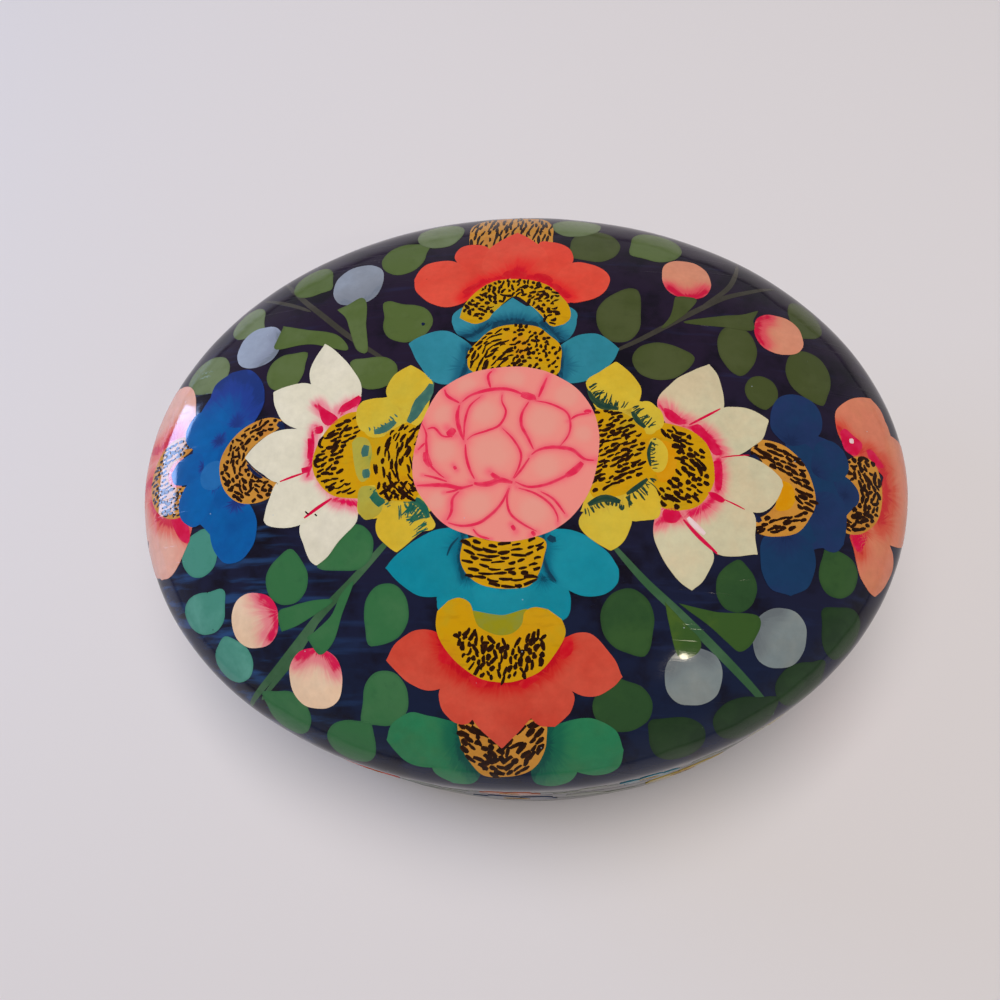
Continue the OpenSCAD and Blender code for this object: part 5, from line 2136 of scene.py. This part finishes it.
LEAVES: dict[Pigment, tuple[Leaf, ...]] = {
    Pigment.LEAF: (
        Leaf((-17.6, 33.4), (3.5, 3.9), (-13.8, 36.6)),
        Leaf((-32.4, 30.7), (3.4, 3.7), (-28.4, 28)),
        Leaf((-33.3, 12.6), (3, 3.2), (-30.2, 15.8)),
        Leaf((-19.2, 11.3), (3.3, 2.7), (-23.2, 13.6)),
        Leaf((-15.2, 19.6), (3.7, 3.4), (-19.3, 24.1)),
        Leaf((21.8, 36.4), (4, 4.3), (17.4, 33.4)),
    ),
    Pigment.OLIVE_LEAF: (
        Leaf((15.3, 20), (3.2, 4.2), (18, 25.9), 0.4),
        Leaf((20.9, 13), (3.8, 3.1), (25.9, 13.9), 0.4),
        Leaf((32.2, 16.2), (2.9, 3.9), (32.1, 11.4), 0.4),
        Leaf((35.2, 9.2), (2.4, 2.5), (35.5, 6.3)),
        Leaf((42.6, 13), (3.5, 4.1), (44.2, 8)),
        Leaf((12.2, 35.4), (3.8, 4.1), (8, 32.4)),
        Leaf((44.1, 24), (2.9, 4), (41.6, 19.6)),
    ),
    Pigment.SPRUCE_LEAF: (
        Leaf((-30, -18.8), (3.2, 3.3), (-29.5, -14.4), 0.4),
        Leaf((-20.6, -14.4), (3, 3.2), (-25.6, -17), 0.4),
        Leaf((-15.6, -23.2), (3.1, 3.9), (-18, -27.6)),
        Leaf((-15.8, -34.6), (3.2, 3.8), (-19.6, -38.2)),
        Leaf((-31, -37.4), (3.6, 3.5), (-35, -34.2)),
        Leaf((-21.7, -41.4), (3.8, 3.6), (-18.2, -38)),
    ),
    Pigment.PALE_LEAF: (
        Leaf((-42.5, 24), (3, 3.5), (-38.8, 21.2)),
        Leaf((-47.6, 14.6), (4.2, 3.5), (-43.6, 10.6)),
    ),
    # Painted reflection: the far left leaves, lightened by the window's glare
    Pigment.WINDOW_GLARE_LEAF: (
        Leaf((-44.6, -14.6), (3.3, 3.2), (-43.5, -10.8), 0.4),
        Leaf((-44, -23), (4, 3), (-40, -19.6)),
        Leaf((-39.3, -29.9), (3.6, 3.1), (-40.2, -26.2), 0.4),
    ),
    Pigment.DARK_LEAF: (
        Leaf((30.7, -19), (2.8, 3.2), (31, -15.2)),
        Leaf((45.4, -16.4), (3.1, 3.1), (43.4, -12.6)),
        Leaf((16.3, -23.6), (3.5, 4), (18.8, -28.2), 0.4),
        Leaf((16, -35), (4, 3.4), (14.4, -31)),
    ),
    Pigment.SHADOW_LEAF: (
        Leaf((46.9, -24.3), (3.6, 3.7), (43, -21)),
        Leaf((24, -39.6), (4, 3.4), (19.6, -36.8)),
        Leaf((33.3, -36.7), (4.7, 3.4), (38, -33.4)),
        Leaf((41.3, -31.7), (4.2, 3.3), (44.6, -28)),
    ),
}

CUPS: dict[Pigment, tuple[tuple[Point, ...], ...]] = {
    Pigment.LEAF: (
        ((-26.7, 23.3), (-25, 21.5), (-24, 19), (-22.5, 15.5), (-20.8, 15), (-21.6, 20), (-22, 23.7),
         (-23, 25.3), (-24.8, 24.2)),
        ((-35.2, 21.4), (-35.8, 19), (-35.6, 17), (-30, 17.2), (-24, 15.5), (-26, 18.5), (-31, 20)),
    ),
    Pigment.OLIVE_LEAF: (
        ((23.7, 24.7), (25.3, 24.9), (26.9, 24.3), (25, 21.5), (22.5, 19.2), (21.3, 18.6), (22.8, 21)),
        ((36.2, 23.7), (33.5, 22.4), (30, 21.6), (24.5, 19.9), (30.5, 19.6), (34.8, 19.6), (35.2, 21.6)),
    ),
    Pigment.SPRUCE_LEAF: (
        ((-27, -26.5), (-25, -28.8), (-23, -27), (-21.8, -23.5), (-20.2, -19), (-22, -20.8),
         (-23.3, -23.5), (-25.5, -25.5)),
        ((-30.8, -25.7), (-28.2, -24.8), (-25, -23), (-23, -21.5), (-26, -21.5), (-29.4, -22.3),
         (-31.2, -23)),
    ),
    Pigment.FRONT_CUP: (
        ((21.2, -21.2), (22, -25), (23.2, -28.3), (25.5, -27.8), (26, -26), (23.5, -23.5)),
        ((23, -21.3), (28, -22.2), (33.8, -22.5), (33.4, -25.5), (31.5, -27.3), (29.5, -26), (27, -24)),
    ),
}


@dataclass(frozen=True)
class Bud:
    """A closed flower, flushed at the end where it grows from its cup.

    Fields:
        centre: its middle.
        size: half its width and half its height.
        foot: direction of its flushed end, in degrees.
        bleed: how far the flush reaches in.
    """

    centre: Point
    size: Point
    foot: float
    bleed: float = 1.3

    def petal(self) -> Petal:
        """The bud as a filled shape: an oval, its sides a little squared, root at its foot."""
        turn = np.linspace(0, 2 * np.pi, 28, endpoint=False)
        squared = np.sign(unit(turn)) * np.abs(unit(turn)) ** 0.86
        edge = np.asarray(self.centre) + np.asarray(self.size) * squared
        way = unit(np.radians(self.foot)) * max(self.size) * 1.15
        return Petal(tuple(map(tuple, edge)), tuple(self.centre + way), tuple(self.centre - way))

    def flush(self) -> tuple[Bleed, ...]:
        """The colour that bleeds in from its foot, from an arc just inside the edge."""
        aims = np.radians(self.foot + np.array([-52, -18, 18, 52]))
        arc = np.asarray(self.centre) + 0.92 * np.asarray(self.size) * unit(aims)
        return ((self.bleed, tuple(map(tuple, arc))),)


BUDS: dict[Pigment, tuple[Bud, ...]] = {
    Pigment.GREY_BUD: (
        Bud((-24.1, 28.3), (4, 4.4), -70),
    ),
    # Painted light: the bud nearest the window, in a lighter grey
    Pigment.WINDOW_LIT_BUD: (
        Bud((-38.8, 18.1), (3.8, 3.9), -20),
    ),
    Pigment.LEAD_BUD: (
        Bud((37, -25.3), (3.9, 4), 150),
        Bud((25.3, -30.8), (3.9, 3.8), 110),
    ),
    Pigment.BLUSH_BUD: (
        Bud((25.7, 28.7), (3.7, 4.2), -90),
        Bud((38.9, 19.6), (3.8, 3.7), 165),
    ),
    Pigment.PALE_BUD: (
        Bud((-35, -24.1), (3.8, 3.8), 15, 1.9),
        Bud((-25.9, -32.1), (4, 4.2), 80, 1.6),
    ),
}


@dataclass
class CornerSprays:
    """The four sprays between the arms: stems, pointed leaves, cups and closed buds."""

    oval: OvalBody
    materials: dict[Pigment, bpy.types.Material]

    def build(self) -> None:
        """Paints the stems first, then the leaves, the buds and the cups on top."""
        box = PaintBox(self.oval, "lid_sprays", Body.LID, Slot.LID, materials=self.materials)
        for stem in STEMS:
            stem.paint(box)
        for pigment, leaves in LEAVES.items():
            for leaf in leaves:
                box.pot(pigment).petal(leaf.petal(), Layer.LEAF)
        for pigment, buds in BUDS.items():
            for bud in buds:
                box.pot(pigment).petal(bud.petal(), Layer.BUD, bud.flush())
        for pigment, cups in CUPS.items():
            Daub(pigment, Layer.BUD + 0.4, cups).paint(box)
        box.make()


@dataclass
class SideGarland:
    """A garland round the side: a waving stem with round flowers, leaves and buds.

    Fields:
        oval: the form.
        name, body, slot: of its pieces.
        materials: the finishes made so far.
        middle: height of its middle below the rim, in millimetres.
        tall: how much height it fills.
        flowers: number of flowers round the box.
        colours: of the flowers, in turn.
        petal: outline of a petal one long, along it and to its left.
    """

    oval: OvalBody
    name: str
    body: Body
    slot: Slot
    materials: dict[Pigment, bpy.types.Material]
    middle: float
    tall: float
    flowers: int
    colours: tuple[Pigment, ...] = (
        Pigment.SALMON, Pigment.TEAL, Pigment.CREAM, Pigment.BLUE, Pigment.YELLOW, Pigment.ORANGE,
    )
    petal: tuple[Point, ...] = (
        (0.12, -0.16), (0.55, -0.36), (0.86, -0.26), (1, 0), (0.86, 0.26), (0.55, 0.36), (0.12, 0.16),
    )

    def chart(self) -> tuple[Chart, float]:
        """Works out how places round the side become flat ones.

        The distance round the rim is summed over short chords and looked up for its direction.

        Returns:
            The chart from (distance round, height above the garland's middle), and the whole distance.
        """
        turn = np.linspace(0, 2 * np.pi, 4001)
        way = unit(turn)
        rim = way * self.oval.reach(way)[:, None]
        round_run = np.concatenate([[0], np.cumsum(np.linalg.norm(np.diff(rim, axis=0), axis=1))])

        def flat(places: np.ndarray) -> np.ndarray:
            """Flat places of places round the side."""
            angle = np.interp(places[..., 0] % round_run[-1], round_run, turn)
            ways = unit(angle)
            return ways * (self.oval.rim_run(ways) + self.middle - places[..., 1])[..., None]

        return flat, float(round_run[-1])

    def flower(self, box: PaintBox, centre: Point, radius: float, pigment: Pigment, turn: float) -> None:
        """Paints five round petals about a gold middle with dashes."""
        middle = np.asarray(centre)
        for number in range(5):
            aim = turn + number * 2 * np.pi / 5
            ahead = unit(aim)
            edge = tuple(tuple(middle + radius * (a * ahead + b * left_of(ahead))) for a, b in self.petal)
            petal = Petal(edge, tuple(middle), tuple(middle + radius * ahead))
            box.pot(pigment).petal(petal, Layer.OUTER_PETAL + 0.12 * number)
        disc = tuple(map(tuple, middle + 0.3 * radius * unit(np.linspace(0, 5.6, 9))))
        Crown(
            Layer.MIDDLE_CROWN, disc, (),
            (Dashes((), 0.0, (0.7, 0.4), (0.9, 0.7), tuple(middle), int(centre[0]), 0.2, 0.15),),
        ).paint(box)

    def build(self) -> None:
        """Paints the garland."""
        flat, whole = self.chart()
        box = PaintBox(self.oval, self.name, self.body, self.slot, flat, self.materials)
        step = whole / self.flowers
        wave = self.tall * 0.16
        around = np.linspace(0.5, whole - 0.5, self.flowers * 8)
        stem = tuple((u, wave * float(np.sin(np.pi * u / step))) for u in around)
        box.pot(Pigment.STEM).stroke(stem, 0.9, Layer.STEM, 0.1)
        radius = self.tall * 0.42
        for number in range(self.flowers):
            start = number * step
            pigment = self.colours[number % len(self.colours)]
            self.flower(box, (start, 0.0), radius, pigment, 0.5 * number)
            rise = 1 if number % 2 else -1
            for share, height, lean in ((0.40, 0.26, 0.8), (0.60, -0.26, -0.8)):
                spot = (start + share * step, rise * height * self.tall)
                tip = (spot[0] + lean * 0.24 * self.tall, spot[1] * 0.1)
                leaf = Leaf(spot, (0.17 * self.tall, 0.19 * self.tall), tip, 0.4)
                box.pot(Pigment.LEAF).petal(leaf.petal(), Layer.LEAF)
        box.make()


class Studio:
    """Pale floor, soft lamps and the camera at the photograph's viewing angle."""

    # Where the photograph's camera stood, in metres, its tilt in degrees, and its lens
    camera_place = (0.0113, -0.0501, 0.1769)
    camera_turn = (18.6, 4.8, 1.9)
    lens = 36.0
    floor_colour = "#e6e2e6"
    floor_cloud = "#dedade"

    def build(self) -> None:
        """Sets the stage up."""
        self.floor()
        self.world()
        self.lamp("key", (0.02, 0.02, 0.75), (0.45, 0.45), 4.9, "#fffaf4", seen=False)
        self.lamp("window", (-0.46, 0.15, 0.10), (0.2, 0.11), 0.95, "#a8c8ff", seen=True)
        self.lamp("lamp", (0.30, -0.34, 0.62), (0.03, 0.03), 0.15, "#fff0d8", seen=True)
        self.camera()

    def floor(self) -> None:
        """Makes the floor: one wide plane, faintly clouded."""
        half = 4.0
        corners = [(-half, -half, 0), (half, -half, 0), (half, half, 0), (-half, half, 0)]
        mesh = bpy.data.meshes.new("floor")
        mesh.from_pydata(corners, [], [(0, 1, 2, 3)])
        bench = Bench("floor")
        cloud = bench.noise(bench.place(), 3.0)
        colour = bench.mix(cloud, shade(self.floor_colour), shade(self.floor_cloud))
        bench.join(colour, bench.shader.inputs["Base Color"])
        bench.shader.inputs["Roughness"].default_value = 0.7
        mesh.materials.append(bench.material)
        floor = bpy.data.objects.new("floor", mesh)
        bpy.context.scene.collection.objects.link(floor)

    def world(self) -> None:
        """Makes the surroundings: pale near the horizon and dim overhead."""
        world = bpy.data.worlds.new("studio")
        world.use_nodes = True
        bpy.context.scene.world = world
        tree = world.node_tree
        place = tree.nodes.new("ShaderNodeTexCoord")
        split = tree.nodes.new("ShaderNodeSeparateXYZ")
        ramp = tree.nodes.new("ShaderNodeValToRGB")
        tree.links.new(place.outputs["Generated"], split.inputs[0])
        tree.links.new(split.outputs["Z"], ramp.inputs["Fac"])
        tree.links.new(ramp.outputs["Color"], tree.nodes["Background"].inputs["Color"])
        stops = ((0.0, 0.30), (0.22, 0.24), (0.5, 0.10), (1.0, 0.04))
        ramp.color_ramp.elements.new(0.3)
        ramp.color_ramp.elements.new(0.6)
        for stop, (where, level) in zip(ramp.color_ramp.elements, stops):
            stop.position = where
            stop.color = (level, level, level * 1.02, 1)

    def lamp(
        self, name: str, place: Sequence[float], size: Point, power: float, colour: str, seen: bool
    ) -> None:
        """Hangs a soft lamp that faces the box.

        Args:
            name: its name.
            place: where it hangs, in metres.
            size: width and height, in metres.
            power: in watts.
            colour: its colour.
            seen: whether the lacquer mirrors it.
        """
        light = bpy.data.lights.new(name, "AREA")
        light.shape = "RECTANGLE"
        light.size, light.size_y = size
        light.energy = power
        light.color = shade(colour)[:3]
        lamp = bpy.data.objects.new(name, light)
        lamp.location = place
        lamp.rotation_euler = (Vector((0, 0, 0.04)) - Vector(place)).to_track_quat("-Z", "Y").to_euler()
        lamp.visible_glossy = seen
        bpy.context.scene.collection.objects.link(lamp)

    def camera(self) -> None:
        """Sets the camera."""
        data = bpy.data.cameras.new("camera")
        data.lens = self.lens
        data.sensor_width = 36.0
        data.clip_start = 0.005
        camera = bpy.data.objects.new("camera", data)
        camera.location = self.camera_place
        camera.rotation_euler = [float(np.radians(v)) for v in self.camera_turn]
        bpy.context.scene.collection.objects.link(camera)
        bpy.context.scene.camera = camera


def main() -> None:
    """Builds the box from its skins to its last dash."""
    logging.basicConfig(level=logging.INFO, format="%(message)s")
    bpy.context.scene.view_settings.view_transform = "Standard"
    oval = OvalBody.from_frame()
    Studio().build()
    materials: dict[Pigment, bpy.types.Material] = {}
    materials[Pigment.GROUND] = Pigment.GROUND.value.material("dark_ground")
    lining = InsideColour().material("inside_lacquer")
    LidSkin(oval).build(materials[Pigment.GROUND], lining)
    board = InsideColour(worn="#8a7358", wear=0.5).material("collar_board")
    BaseSkin(oval).build(materials[Pigment.GROUND], lining, board)
    CornerSprays(oval, materials).build()
    arms = {"left": LEFT_ARM, "right": RIGHT_ARM, "top": TOP_ARM, "bottom": BOTTOM_ARM}
    for name, marks in arms.items():
        FlowerArm(oval, name, marks, materials).build()
    Rose(oval).build()
    band = oval.rim_z - oval.seam_z
    on_lid = SideGarland(
        oval, "band", Body.LID, Slot.LID, materials, middle=band * 0.52, tall=band * 0.86, flowers=16
    )
    on_base = SideGarland(
        oval, "wall", Body.BASE, Slot.BASE, materials, middle=band + 10.5, tall=17, flowers=12
    )
    on_lid.build()
    on_base.build()


if __name__ == "__main__":
    main()
